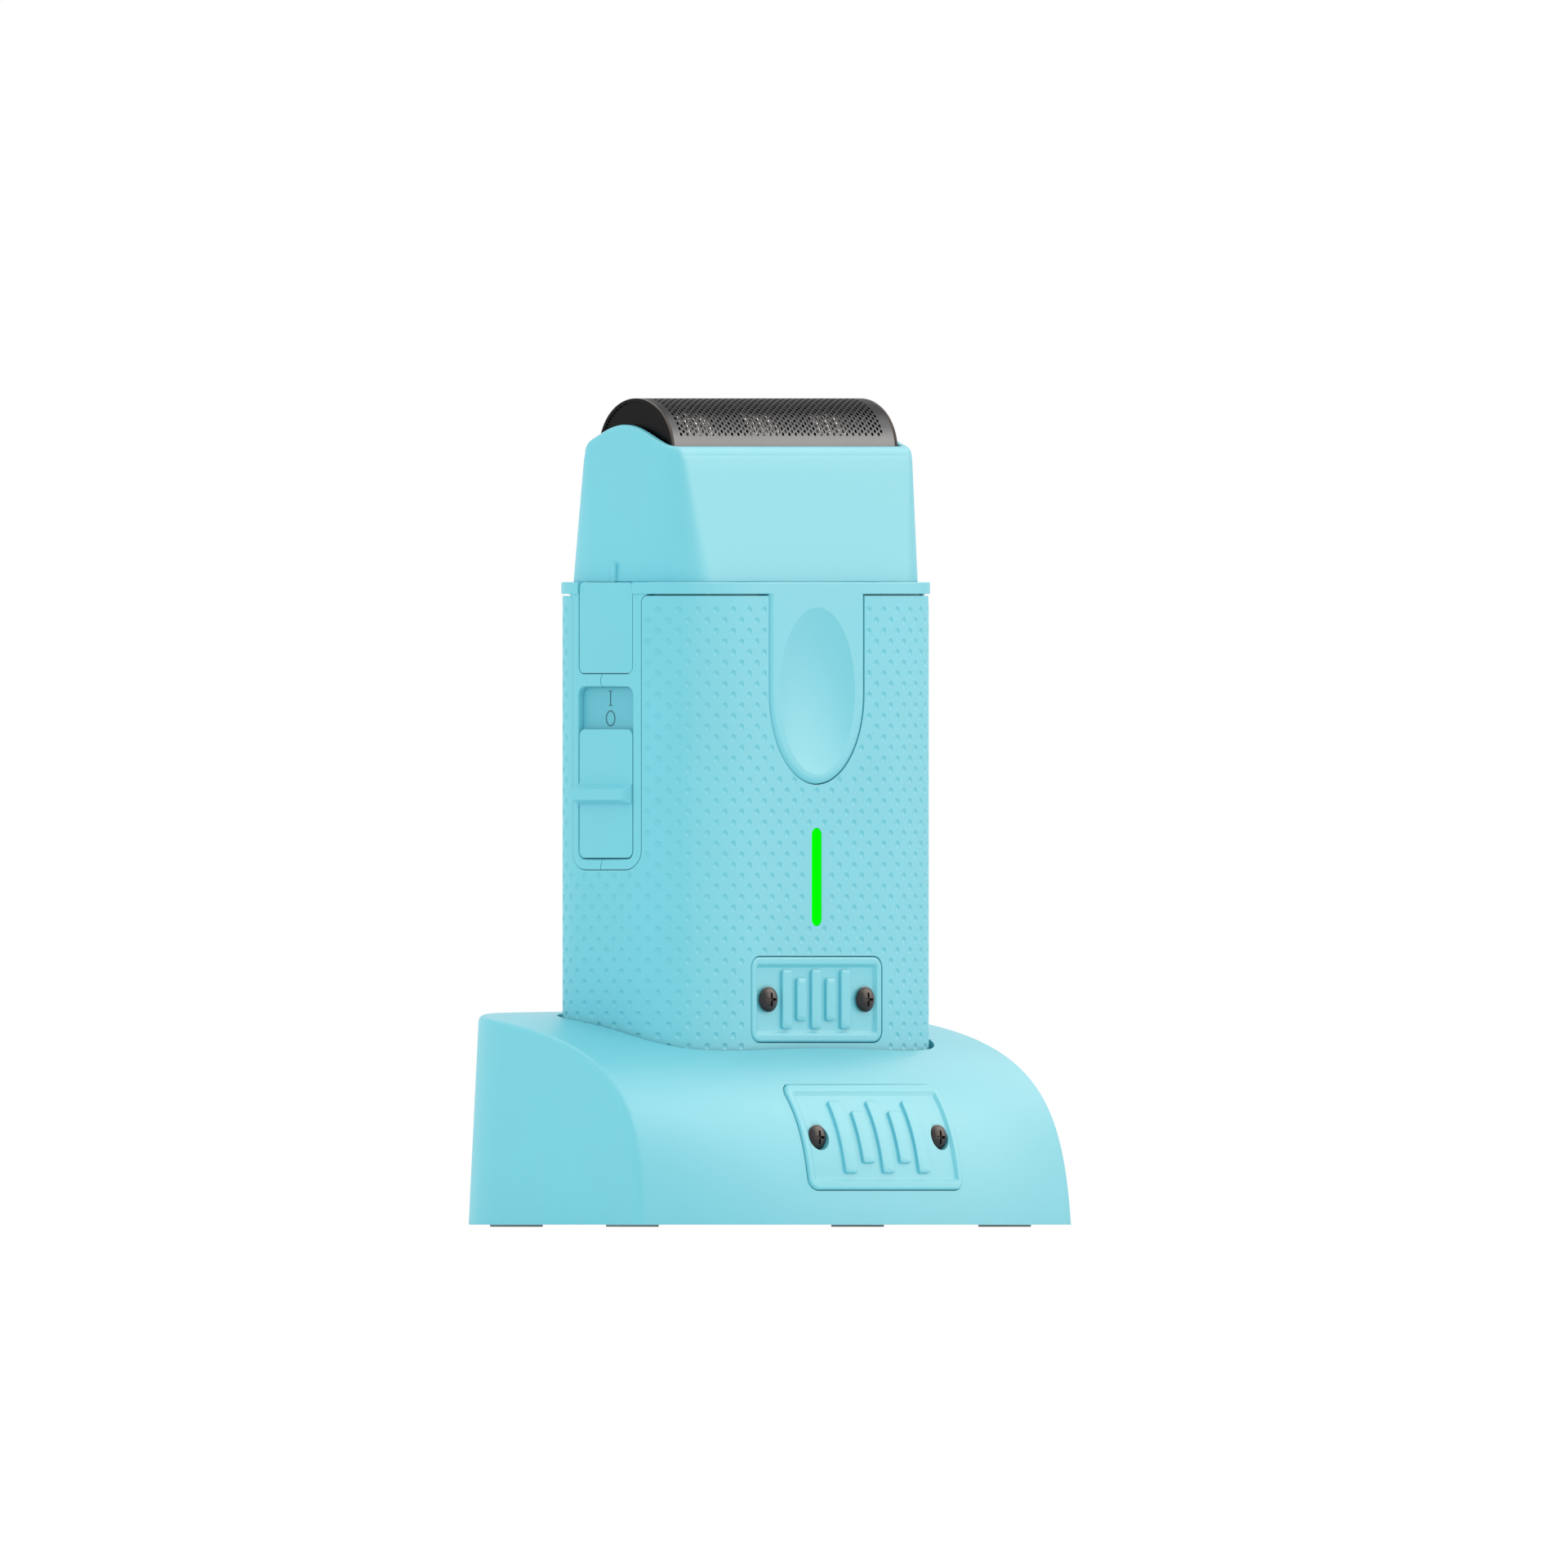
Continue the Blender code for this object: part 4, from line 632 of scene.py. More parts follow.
def lattice_skin(step, start, cells, outlines, solid, marked, rings, hole, place, thickness, columns=0):
    """A closed skin of thickness, tiled by diamond cells that meet at their points.

    step is half a diamond's width and height, and start the height of row 0. A cell (u, v) exists
    where u + v is even. outlines are the (points, closed) edges of the skin, and solid(s, t) tells
    where there is skin. A marked cell gets a dimple, given as rings of (radius, depth), or a hole
    of a half width and half height. place(s, t, depth) puts a flat point in space. With columns, s
    wraps round.
    """
    width, height = step

    def cell_at(s, t):
        u, v = s / width, (t - start) / height
        a, b = round((u + v) / 2), round((u - v) / 2)
        return a + b, a - b

    touched = {cell_at(s, t) for outline, closed in outlines for s, t in dense(outline, closed)}
    if columns:
        touched = {((u + columns // 2) % columns - columns // 2, v) for u, v in touched}
    verts, index, faces, rims = [], {}, [], []

    def vertex(key, s, t, depth):
        if key not in index:
            index[key] = len(verts)
            verts.append(place(s, t, depth))
        return index[key]

    def corner(a, b, depth):
        key = ((a + 3 * columns) % (3 * columns) if columns else a, b, depth)
        return vertex(key, a * width / 3, start + b * height / 3, depth)

    def oval(s, t, size):
        return [(s + size[0] * cos(a), t + size[1] * sin(a)) for a in circle(len(RIM))]

    def ring(u, v, size, depth, tag):
        points = oval(u * width, start + v * height, size)
        return [vertex((u, v, tag, k), *point, depth) for k, point in enumerate(points)]

    def bridge(outer, inner):
        faces.extend((a, b, d, c) for (a, b), (c, d) in zip(looped(outer), looped(inner)))

    def add_rims(front, back):
        rims.extend((a, b, c, d) for (a, b), (c, d) in zip(looped(front), looped(back)))

    def dimple(u, v):
        rows = [ring(u, v, (radius, radius), depth, radius) for radius, depth in rings]
        for outer, inner in zip(rows, rows[1:]):
            bridge(outer, inner)
        middle = vertex((u, v, "middle"), u * width, start + v * height, rings[-1][1] + DIMPLE_TIP)
        faces.extend((a, b, middle) for a, b in looped(rows[-1]))
        return rows[0]

    for u, v in cells:
        if (u, v) in touched:
            continue
        s, t = u * width, start + v * height
        if not solid(s, t):
            continue
        front = [corner(3 * u + a, 3 * v + b, 0.0) for a, b in RIM]
        back = [corner(3 * u + a, 3 * v + b, thickness) for a, b in RIM]
        add_rims(front, back)
        if not marked(s, t):
            faces.append(tuple(front))
            faces.append(tuple(reversed(back)))
        elif hole:
            near = ring(u, v, hole, 0.0, "near")
            far = ring(u, v, hole, thickness, "far")
            bridge(front, near)
            bridge(near, far)
            bridge(far, back)
        else:
            faces.append(tuple(reversed(back)))
            bridge(front, dimple(u, v))

    # Cells that an edge of the skin crosses are cut along it
    points, lines, seen = [], [], {}

    def flat_point(s, t):
        key = (round(s, 5), round(t, 5))
        if key not in seen:
            seen[key] = len(points)
            points.append(Vector((s, t)))
        return seen[key]

    known = touched & set(cells)
    sunken = {}
    for u, v in sorted(known):
        row = [flat_point((3 * u + a) * width / 3, start + (3 * v + b) * height / 3) for a, b in RIM]
        lines += looped(row)
        s, t = u * width, start + v * height
        if rings and solid(s, t) and marked(s, t):
            sunken[u, v] = (s, t)
            lines += looped([flat_point(*point) for point in oval(s, t, (rings[0][0],) * 2)])
            dimple(u, v)
    for outline, closed in outlines:
        row = [flat_point(s, t) for s, t in outline]
        lines += looped(row) if closed else zip(row, row[1:])
    flat, _, triangles, *_ = delaunay_2d_cdt(points, lines, [], 0, 1e-6)

    def cut_vertex(point, depth):
        a, b = 3 * point.x / width, 3 * (point.y - start) / height
        if abs(a - round(a)) < 1e-3 and abs(b - round(b)) < 1e-3:
            return corner(round(a), round(b), depth)
        s = (point.x + columns * width / 2) % (columns * width) if columns else point.x
        return vertex((round(s, 4), round(point.y, 4), "cut", depth), point.x, point.y, depth)

    for triangle in triangles:
        middle = sum((flat[i] for i in triangle), Vector((0, 0))) / 3
        cell = cell_at(*middle)
        if cell not in known or not solid(*middle):
            continue
        front = [cut_vertex(flat[i], 0.0) for i in triangle]
        back = [cut_vertex(flat[i], thickness) for i in triangle]
        if len(set(front)) < 3:
            continue
        if cell not in sunken or dist(middle, sunken[cell]) > 0.96 * rings[0][0]:
            faces.append(tuple(front))
        faces.append(tuple(reversed(back)))
        add_rims(front, back)

    # An edge that only one face has is the border of the skin, and gets a wall
    count = Counter(frozenset(rim[:2]) for rim in rims)
    faces += [(q, p, p_back, q_back) for p, q, p_back, q_back in rims if count[frozenset((p, q))] == 1]
    return skin(verts, faces)


def inside(polygon, x, y):
    """Whether a point is within a closed outline."""
    hit = False
    for (x0, y0), (x1, y1) in looped(polygon):
        if (y0 > y) != (y1 > y) and x < (x1 - x0) * (y - y0) / (y1 - y0) + x0:
            hit = not hit
    return hit


def trim_outline(side, grow=0.0, top=RING_TOP + 2):
    """A side trim in Y and Z, widening in a curve where it meets the ring."""
    half = TRIM_HALF + grow
    bottom = TRIM_BOTTOM[side] - grow
    ring = RING_BOTTOM - grow
    corner, flare = 3.0 + grow, 1.4 - grow
    turns = quarter_turn(9)
    right = [(half - corner + corner * sin(a), bottom + corner * (1 - cos(a))) for a in turns]
    right += [(half + flare * (1 - cos(a)), ring - flare * (1 - sin(a))) for a in turns]
    right.append((half + flare, top))
    return [(CONTROL_Y + y, z) for y, z in right] + [(CONTROL_Y - y, z) for y, z in reversed(right)]


def control_outline(z, radius, inset=0.0):
    """A rounded outline in Y and Z as wide as the side controls."""
    return rounded_box((CONTROL_Y - CONTROL_HALF, CONTROL_Y + CONTROL_HALF), z, radius, inset)


def make_grip():
    wrap = Wrap()
    low, high = (corner[2] for corner in cad_box("grip_sleeve"))
    columns = 2 * round(wrap.length / DIMPLE_STEP / 2)
    step = (wrap.length / columns, DIMPLE_STEP)
    tongue = tongue_outline(-SEAM, RING_TOP + 3)
    badge = rounded_box(*cad_face("body_badge"), BADGE_CORNER, -SEAM)
    badge = [(wrap.from_x(x), z) for x, z in badge]
    light = rounded_box(*cad_face("charge_light"), LIGHT_CORNER, LIGHT_TRIM - SEAM)
    holes = [tongue, badge, light]
    for side in (-1, 1):
        edge = [(y - SEAM * 0.75 if y > CONTROL_Y + 5 else y, z) for y, z in trim_outline(side, SEAM)]
        holes.append([(wrap.from_y(y, side), z) for y, z in edge])
    boxes = [(np.min(hole, 0), np.max(hole, 0)) for hole in holes]
    reach = wrap.length / 2 + 5

    def solid(s, t):
        if not low < t < high:
            return False
        s = (s + wrap.length / 2) % wrap.length - wrap.length / 2
        return not any(
            least[0] < s < most[0] and least[1] < t < most[1] and inside(hole, s, t)
            for hole, (least, most) in zip(holes, boxes)
        )

    plain = 0.8  # between an edge of the sleeve and the nearest dimple
    fringe = [(x, z, 1.75 if hole is badge else plain) for hole in holes for x, z in dense(hole, True, 0.3)]

    def marked(s, t):
        if not low + plain < t < high - plain:
            return False
        return not any(
            abs(s - x) < wide and abs(t - z) < plain and hypot((s - x) / wide, (t - z) / plain) < 1
            for x, z, wide in fringe
        )

    rows = [(z - DIMPLE_ROW) / DIMPLE_STEP for z in (low, high)]
    rows = range(floor(rows[0]) - 1, ceil(rows[1]) + 2)
    cells = [(u, v) for u in range(-columns // 2, columns // 2) for v in rows if (u + v) % 2 == 0]
    outlines = [([(-reach, z), (reach, z)], False) for z in (low, high)]
    outlines += [(hole, True) for hole in holes]
    mesh = lattice_skin(
        step, DIMPLE_ROW, cells, outlines, solid, marked, DIMPLE_RINGS, None, wrap.place, 1.2, columns
    )
    stand_for("grip_sleeve", mesh, 30)


def foil_place(s, t, depth):
    """A point of the foil by its X and its length round the arch from the middle of the top."""
    radius = FOIL_RADIUS - depth
    quarter = FOIL_RADIUS * pi / 2
    if abs(t) > quarter:
        return (s, FOIL_Y + copysign(radius, t), FOIL_Z - (abs(t) - quarter))
    angle = t / FOIL_RADIUS
    return (s, FOIL_Y + radius * sin(angle), FOIL_Z + radius * cos(angle))


def make_foil():
    half = FOIL_HALF
    reach = FOIL_RADIUS * pi / 2 + FOIL_Z - FOIL_BOTTOM
    edge = [(-half, -reach), (half, -reach), (half, reach), (-half, reach)]
    last = radians(HOLES_END) * FOIL_RADIUS

    def solid(s, t):
        return abs(s) < half and abs(t) < reach

    def marked(s, t):
        return HOLES_X[0] < s < HOLES_X[1] and abs(t) < last + 0.2

    columns, rows = (ceil(size / step) + 1 for size, step in zip((half, reach), HOLE_STEP))
    cells = [(u, v) for u in range(-columns, columns + 1) for v in range(-rows, rows + 1) if (u + v) % 2 == 0]
    mesh = lattice_skin(
        HOLE_STEP, 0.0, cells, [(edge, True)], solid, marked, None, HOLE_SIZE, foil_place, FOIL_THICKNESS
    )
    stand_for("foil", mesh, 50, material=FOIL_SHADED_SHEET)


# ---- plates that follow a surface


def divided(outline, step):
    """outline(inset) with its long edges cut up, into as many parts at every inset."""
    base = outline(0.0)
    counts = [max(1, ceil(dist(p, q) / step)) for p, q in looped(base)]

    def finer(inset):
        points = []
        for (p, q), n in zip(looped(outline(inset)), counts):
            points += [(p[0] + (q[0] - p[0]) * i / n, p[1] + (q[1] - p[1]) * i / n) for i in range(n)]
        return points

    return finer


def surface_plate(outline, levels, place, grid=1.6):
    """A closed plate from (inset, height) levels of an outline, both faces following place."""
    outline = divided(outline, grid)
    verts, faces, rows = [], [], []
    for inset, height in levels:
        ring = [(x, y, height) for x, y in outline(inset)]
        rows.append(list(range(len(verts), len(verts) + len(ring))))
        verts += ring
    for lower, upper in zip(rows, rows[1:]):
        faces += [(a, b, d, c) for (a, b), (c, d) in zip(looped(lower), looped(upper))]
    for row in (rows[0], rows[-1]):
        height = verts[row[0]][2]
        loop = [Vector(verts[i][:2]) for i in row]
        low, high = np.min(loop, 0), np.max(loop, 0)
        extra = []
        for x in np.arange(low[0] + grid / 2, high[0], grid):
            for y in np.arange(low[1] + grid / 2, high[1], grid):
                if inside(loop, x, y) and min(dist((x, y), p) for p in loop) > grid / 3:
                    extra.append(Vector((x, y)))
        lines = list(looped(list(range(len(loop)))))
        flat, _, triangles, source, *_ = delaunay_2d_cdt(loop + extra, lines, [], 1, 1e-6)
        ids = []
        for point, origins in zip(flat, source):
            if origins and origins[0] < len(loop):
                ids.append(row[origins[0]])
            else:
                ids.append(len(verts))
                verts.append((point.x, point.y, height))
        faces += [tuple(ids[i] for i in triangle) for triangle in triangles]
    return skin([place(*point) for point in verts], faces)


def on_body(x, z, height):
    return (x, -BODY_HALF_DEPTH - height, z)


# ---- dock


def dock_bulge(x):
    chord = sqrt(DOCK_FRONT_RADIUS**2 - DOCK_HALF**2)
    return sqrt(DOCK_FRONT_RADIUS**2 - min(abs(x), DOCK_HALF) ** 2) - chord


def dock_curve(inset, count=160):
    """Points (y, z) up the dock's front and over its top, moved inwards by inset."""
    t = np.linspace(0, 1.15, count)[:, None]
    p = np.array(DOCK_PROFILE)
    s = 1 - t
    points = s**3 * p[0] + 3 * s * s * t * p[1] + 3 * s * t * t * p[2] + t**3 * p[3]
    slope = 3 * s * s * (p[1] - p[0]) + 6 * s * t * (p[2] - p[1]) + 3 * t * t * (p[3] - p[2])
    slope /= np.linalg.norm(slope, axis=1)[:, None]
    return points + inset * np.stack([slope[:, 1], -slope[:, 0]], 1)


def dock_solid(inset=0.0, bottom=DOCK_BOTTOM, edge=1.0, count=44):
    """The dock's outer form with rounded ends and a rounded back edge, moved inwards by inset."""
    half = DOCK_HALF - inset
    back = DOCK_BACK - inset
    corner = DOCK_BACK_CORNER - inset
    turns = quarter_turn(7)
    ends = [(half - edge * (1 - sin(a)), edge * (1 - cos(a))) for a in turns]
    round_back = [(half - corner + corner * sin(a), 0.0) for a in np.linspace(0, 1.05, 8)]
    flat = [(x, 0.0) for x in np.linspace(0, half - corner, 13)[:-1]]
    right = flat + round_back + ends
    stations = [(-x, moved) for x, moved in reversed(right[1:])] + right
    rings = []
    for x, moved in stations:
        ys, zs = dock_curve(inset + moved).T
        ys -= dock_bulge(x)
        over = max(abs(x) - (half - corner), 0.0)
        rear = back - corner + sqrt(max(corner**2 - over**2, 0.0))
        top_z = np.interp(rear - edge, ys, zs)
        limit = rear - (top_z - DOCK_BOTTOM) * DOCK_BACK_DRAFT - edge
        order = np.arange(len(ys))
        picks = np.linspace(np.interp(bottom, zs, order), np.interp(limit, ys, order), count)
        section = list(zip(np.interp(picks, order, ys), np.interp(picks, order, zs)))
        if section[0][1] > bottom:
            section[0] = (section[0][0], bottom)
        top = section[-1][1]
        section += [(limit + edge * sin(a), top - edge * (1 - cos(a))) for a in turns[1:]]
        section.append((rear + (DOCK_BOTTOM - bottom) * DOCK_BACK_DRAFT, bottom))
        rings.append([(x * (1 - (z - DOCK_BOTTOM) * DOCK_SIDE_DRAFT / half), y, z) for y, z in section])
    return loft(rings)


def dock_front(x, z, height):
    """A point on the dock's front face, raised by height."""
    ys, zs = dock_curve(0.0).T
    below, y, above = np.interp((z - 0.1, z, z + 0.1), zs, ys)
    normal = Vector((x / sqrt(DOCK_FRONT_RADIUS**2 - x * x), -1.0, (above - below) / 0.2)).normalized()
    return Vector((x, y - dock_bulge(x), z)) + normal * height


def make_dock():
    shell = dock_solid()
    cavity = dock_solid(DOCK_WALL, -1.0, 0.5, 24)
    well_outline = lambda i: body_section(-POCKET_CLEARANCE - POCKET_WALL + i, *COARSE)
    well = slab(well_outline, POCKET_FLOOR - POCKET_WALL, 60)
    pocket = slab(lambda i: body_section(-POCKET_CLEARANCE + i), POCKET_FLOOR, 61, 0.8)
    wide, _ = cad_face("dock_badge", SEAM)
    tall = (DOCK_BADGE_Z[0] - SEAM, DOCK_BADGE_Z[1] + SEAM)
    recess = surface_plate(lambda i: rounded_box(wide, tall, 2.0, i), [(0.0, -1.5), (0.0, 5.0)], dock_front)
    mouth_outline = lambda i: rounded_box(*cad_face("power_socket", GAP), 1.6, i)
    mouth = slab(mouth_outline, -30, -DOCK_BACK + 6, facing=FACING_FRONT)
    tools = [cut(cavity, well), pocket, recess, mouth]
    for word in ("left", "right"):
        x = cad_middle(f"charge_pin_{word}")[0]
        tools.append(rod(1.2, (x, 0, 5), (x, 0, POCKET_FLOOR + 1)))
    for foot in (1, 2):
        x, y, _ = cad_middle(f"dock_foot_{foot}")
        tools.append(rod(4.5, (x, y, -1), (x, y, 1.5), 48))
    stand_for("dock_shell", soft_lip(cut(shell, *tools)), 32)

    for foot in (1, 2, 3, 4):
        node = f"dock_foot_{foot}"
        x, y, _ = cad_middle(node)
        radius, _, top = cad_box(node)[1] - (x, y, 0)
        profile = [(radius - 0.05, top), (radius, top - 0.05), (radius, 0.06), (radius - 0.06, 0.0)]
        profile += [(radius - 1.0, 0.0), (radius - 1.15, 0.2), (radius - 1.5, 0.2), (radius - 1.65, 0.0)]
        stand_for(node, turned(profile, Matrix.Translation((x, y, 0))))

    socket_low, socket_high = cad_box("power_socket")
    tongue_z = cad_middle("power_socket")[2]
    tongue = slab(
        lambda i: rounded_box((-3.3, 3.3), (tongue_z - 0.35, tongue_z + 0.35), 0.3, i, 4),
        -socket_high[1] + 0.7,
        -socket_low[1] - 1.2,
        edge_low=0.1,
        facing=FACING_FRONT,
    )
    piece("socket_tongue", tongue, "dock", "black_plastic")


def soft_lip(mesh):
    """Rounds the pocket's upper edge."""
    work = bmesh.new()
    work.from_mesh(mesh)
    bmesh.ops.remove_doubles(work, verts=work.verts, dist=0.01)
    outline = body_section(-POCKET_CLEARANCE)
    lip = []
    for edge in work.edges:
        if len(edge.link_faces) != 2 or edge.calc_face_angle(0) < radians(40):
            continue
        x, y, z = (edge.verts[0].co + edge.verts[1].co) / 2
        near = abs(x) < 35 and abs(y) < 18 and z > 15
        if near and min(dist((x, y), point) for point in outline) < 2.5:
            lip.append(edge)
    bmesh.ops.bevel(work, geom=lip, offset=0.28, segments=4, profile=0.5, affect="EDGES", clamp_overlap=True)
    return to_mesh(work)


# ---- badges and screws


def comb(place, middle_z, height, spread, raise_from, raise_to):
    """A row of upright rounded bars, raised on a badge."""
    levels = [(0.0, raise_from), (0.0, raise_to - 0.12), (0.04, raise_to - 0.04), (0.12, raise_to)]
    bars = []
    for k in range(-2, 3):
        half = height / 2 * (1.0 if k % 2 == 0 else 0.72)
        x = ((k - 0.32) * spread, (k + 0.32) * spread)
        z = (middle_z - half, middle_z + half)
        bars.append(surface_plate(lambda i, x=x, z=z: rounded_box(x, z, 0.45, i, 5), levels, place))
    return bars


def badge_levels(back, face, field, rim=1.2, edge=0.35):
    """(inset, height) levels of a badge: rounded edge, flat rim and a sunken field."""
    turns = quarter_turn(5)
    rounded = [(edge * (1 - cos(a)), face - edge * (1 - sin(a))) for a in turns]
    step = [(rim - 0.1, face), (rim, face - 0.04), (rim + 0.42, field + 0.06), (rim + 0.58, field)]
    return [(0.0, back)] + rounded + step


def screw_head():
    """A pan-head screw along -Z with its seat at 0, and a cross recess."""
    profile = [(0.35, 0.86), (0.8, 0.82), (1.2, 0.72), (1.5, 0.59), (1.74, 0.43), (1.84, 0.33), (1.87, 0.26)]
    profile += [(1.95, 0.24), (2.0, 0.19), (2.0, 0.0), (0.8, 0.0), (0.8, -2.4)]
    cross = [box((-1.1, 1.1), (-0.2, 0.2), (0.3, 2)), box((-0.2, 0.2), (-1.1, 1.1), (0.3, 2))]
    return cut(turned(profile), *cross)


def make_badge(name, z, levels, place, grid, bars, seat_depth, bore=0.0):
    """A badge with its bars and screws, seat_depth behind the CAD screws' front, perhaps in a bore."""
    wide, _ = cad_face(name)
    middle = sum(z) / 2
    plate = surface_plate(lambda i: rounded_box(wide, z, BADGE_CORNER, i), levels, place, grid)
    tools = []
    for word in ("left", "right"):
        screw = f"{name}_screw_{word}"
        x, seat = cad_middle(screw)[0], cad_box(screw)[0][1] + seat_depth
        tools.append(rod(1.1, (x, -50, middle), (x, 0, middle), 24))
        if bore:
            tools.append(rod(bore, (x, -50, middle), (x, seat + 0.03, middle), 48))
        mesh = screw_head()
        mesh.transform(Matrix.Translation((x, seat, middle)) @ FACING_FRONT)
        stand_for(screw, mesh)
    stand_for(name, cut(join(plate, *comb(place, middle, *bars)), *tools), 38)


def make_badges():
    low, high = cad_box("body_badge")
    sunk = 0.35
    face, back = -low[1] - BODY_HALF_DEPTH - sunk, -high[1] - BODY_HALF_DEPTH
    levels = badge_levels(back, face, face - 0.5)
    bars = (9.4, 3.3, face - 0.7, face - 0.02)
    make_badge("body_badge", (low[2], high[2]), levels, on_body, 3, bars, 1.1 + sunk)
    levels = badge_levels(-1.15, 0.35, -0.12)
    bars = (11.4, 4.1, -0.3, 0.33)
    make_badge("dock_badge", DOCK_BADGE_Z, levels, dock_front, 1.5, bars, 1.6, bore=2.04)


# ---- body


def parting_block(side):
    """The space in front of or behind the seam between the housings, which bows past the side slots."""
    edge = [(0.0, 0.0)]
    for low, high in ((55.2, SLOT_Z[0]), (SLOT_Z[1], BUTTON_BOTTOM)):
        edge += [(SEAM_BOW * sin(pi * k / 10), low + (high - low) * k / 10) for k in range(11)]
    top, away = 120.0, side * 40
    edge.append((0.0, top))
    outline = [(bow + side * SEAM / 2, z) for bow, z in edge]
    outline += [(away, top), (away, 0.0)]
    return loft([[(x, y, z) for y, z in outline] for x in (-50, 50)])


def thumb_dish(steps=24):
    """What the thumb rest's dish takes away: a bowl of ovals that shrink as they go in."""
    rings = []
    past_rim, smallest = 1.12, 0.004
    for k in range(steps + 1):
        share = past_rim * (1 - k / steps) + smallest
        height = BODY_HALF_DEPTH + PROUD - DISH_DEPTH * (1 - share * share)
        wide, tall = DISH_HALF[0] * share, DISH_HALF[1] * share
        rings.append([(wide * cos(a), DISH_Z + tall * sin(a), height) for a in circle(120)])
    return loft(rings, FACING_FRONT)


def make_housings():
    core = slab(lambda i: body_section(HOUSING_INSET + i), 12.3, RING_TOP - 0.05)
    ring = slab(lambda i: body_section(-PROUD + i), RING_BOTTOM, RING_TOP, 0.12, 0.25)
    crown, edge = 15.7, 1.1
    levels = [(0.0, 8.0), (0.0, crown)]
    for a in np.linspace(0.2, pi / 2, 7):
        levels.append((edge * (1 - cos(a)), crown + 0.5 * sin(a)))
    tongue = loft_levels(lambda i: tongue_outline(i, RING_TOP - 0.3), levels, FACING_FRONT)
    shapes = [ring, tongue]
    for side in (-1, 1):
        flank = slab(lambda i: body_section(0.01 + i), 14, RING_BOTTOM + 0.6)
        trim = slab(lambda i, side=side: trim_outline(side), 26, 40, facing=FACING_SIDE[side])
        shapes.append(keep_inside(flank, trim))
    whole = join(core, *shapes)

    tools = [slab(lambda i: body_section(CAVITY_INSET + i, *COARSE), 5, RING_BOTTOM - 0.6)]
    mouth = [(0.0, 24.0), (0.0, 31.7), (-0.1, 31.95), (-0.35, 32.3), (-0.8, 33.5)]
    tools.append(loft_levels(lambda i: control_outline(SLOT_Z, CONTROL_CORNER, i), mouth, FACING_SIDE[-1]))
    switch_bay = box((-29.5, -24), (-8.4, 8.4), (56.2, 87.2))
    tools.append(switch_bay)
    for side in (-1, 1):
        opening = lambda i: control_outline((BUTTON_BOTTOM, 108), 1.2, i)
        tools.append(slab(opening, 26.4, 40, facing=FACING_SIDE[side]))
        catch_slot = box((side * 26.6, side * 25.0), (-3.8, 3.8), (98, 106))
        tools.append(catch_slot)
    shaft_hole = rod(6, (0, 0, 98), (0, 0, 106), 64)
    light_slot = lambda i: rounded_box(*cad_face("charge_light", GAP), 1.35, i)
    tools += [shaft_hole, slab(light_slot, 8, 20, facing=FACING_FRONT), thumb_dish()]
    whole = cut(whole, *tools)
    for word, side in (("front", -1), ("rear", 1)):
        stand_for(f"{word}_housing", keep_inside(whole.copy(), parting_block(side)), 30)


def make_body_details():
    low, high = cad_box("bottom_cap")
    cap = slab(lambda i: body_section(i), low[2], 12.0, 0.9, 0.1)
    spigot = slab(lambda i: body_section(CAVITY_INSET + GAP + i, *COARSE), 11, high[2])
    holes = []
    for word in ("left", "right"):
        contact = f"charge_contact_{word}"
        x = cad_middle(contact)[0]
        place = Matrix.Translation((x, 0, 0))
        holes.append(rod(1.9, (x, 0, 5), (x, 0, 20)))
        radius = cad_box(contact)[1][0] - x
        foot, top = (corner[2] for corner in cad_box(contact))
        stand_for(contact, turned([(radius, top), (radius, foot + 0.2), (radius - 0.2, foot)], place))
        foot, top = (corner[2] for corner in cad_box(f"charge_pin_{word}"))
        tip = [(0.3, top), (0.62, top - 0.1), (0.82, top - 0.3), (0.9, top - 0.6)]
        stem = [(0.9, 6.9), (1.7, 6.9), (1.7, foot)]
        stand_for(f"charge_pin_{word}", turned(tip + stem, place))
    stand_for("bottom_cap", cut(join(cap, spigot), *holes), 32)

    outline = lambda i: rounded_box(*cad_face("charge_light"), LIGHT_CORNER, LIGHT_TRIM + i, 12)
    foot = -cad_box("charge_light")[1][1]
    stand_for("charge_light", slab(outline, foot, BODY_HALF_DEPTH + 0.04, 0.0, 0.1, FACING_FRONT))

    for side, word in ((-1, "left"), (1, "right")):
        pad = lambda i: control_outline((BUTTON_BOTTOM, BUTTON_TOP), 1.1, i + 0.15)
        button = slab(pad, 28.0, BODY_HALF_WIDTH + 2, facing=FACING_SIDE[side])
        button = keep_inside(button, slab(lambda i: body_section(0.06 + i), 80, 110))
        flange = box((side * 28.05, side * 27.3), (-7.3, 7.3), (87.6, 94.6))
        arms = box((side * 28.3, side * 23.5), (-5.3, 5.3), (96.4, 98.4))
        gate = box((side * 27.9, side * 24.7), (-4.1, 4.1), (95, 99))
        stand_for(f"release_button_{word}", join(button, flange, cut(arms, gate)), 32)


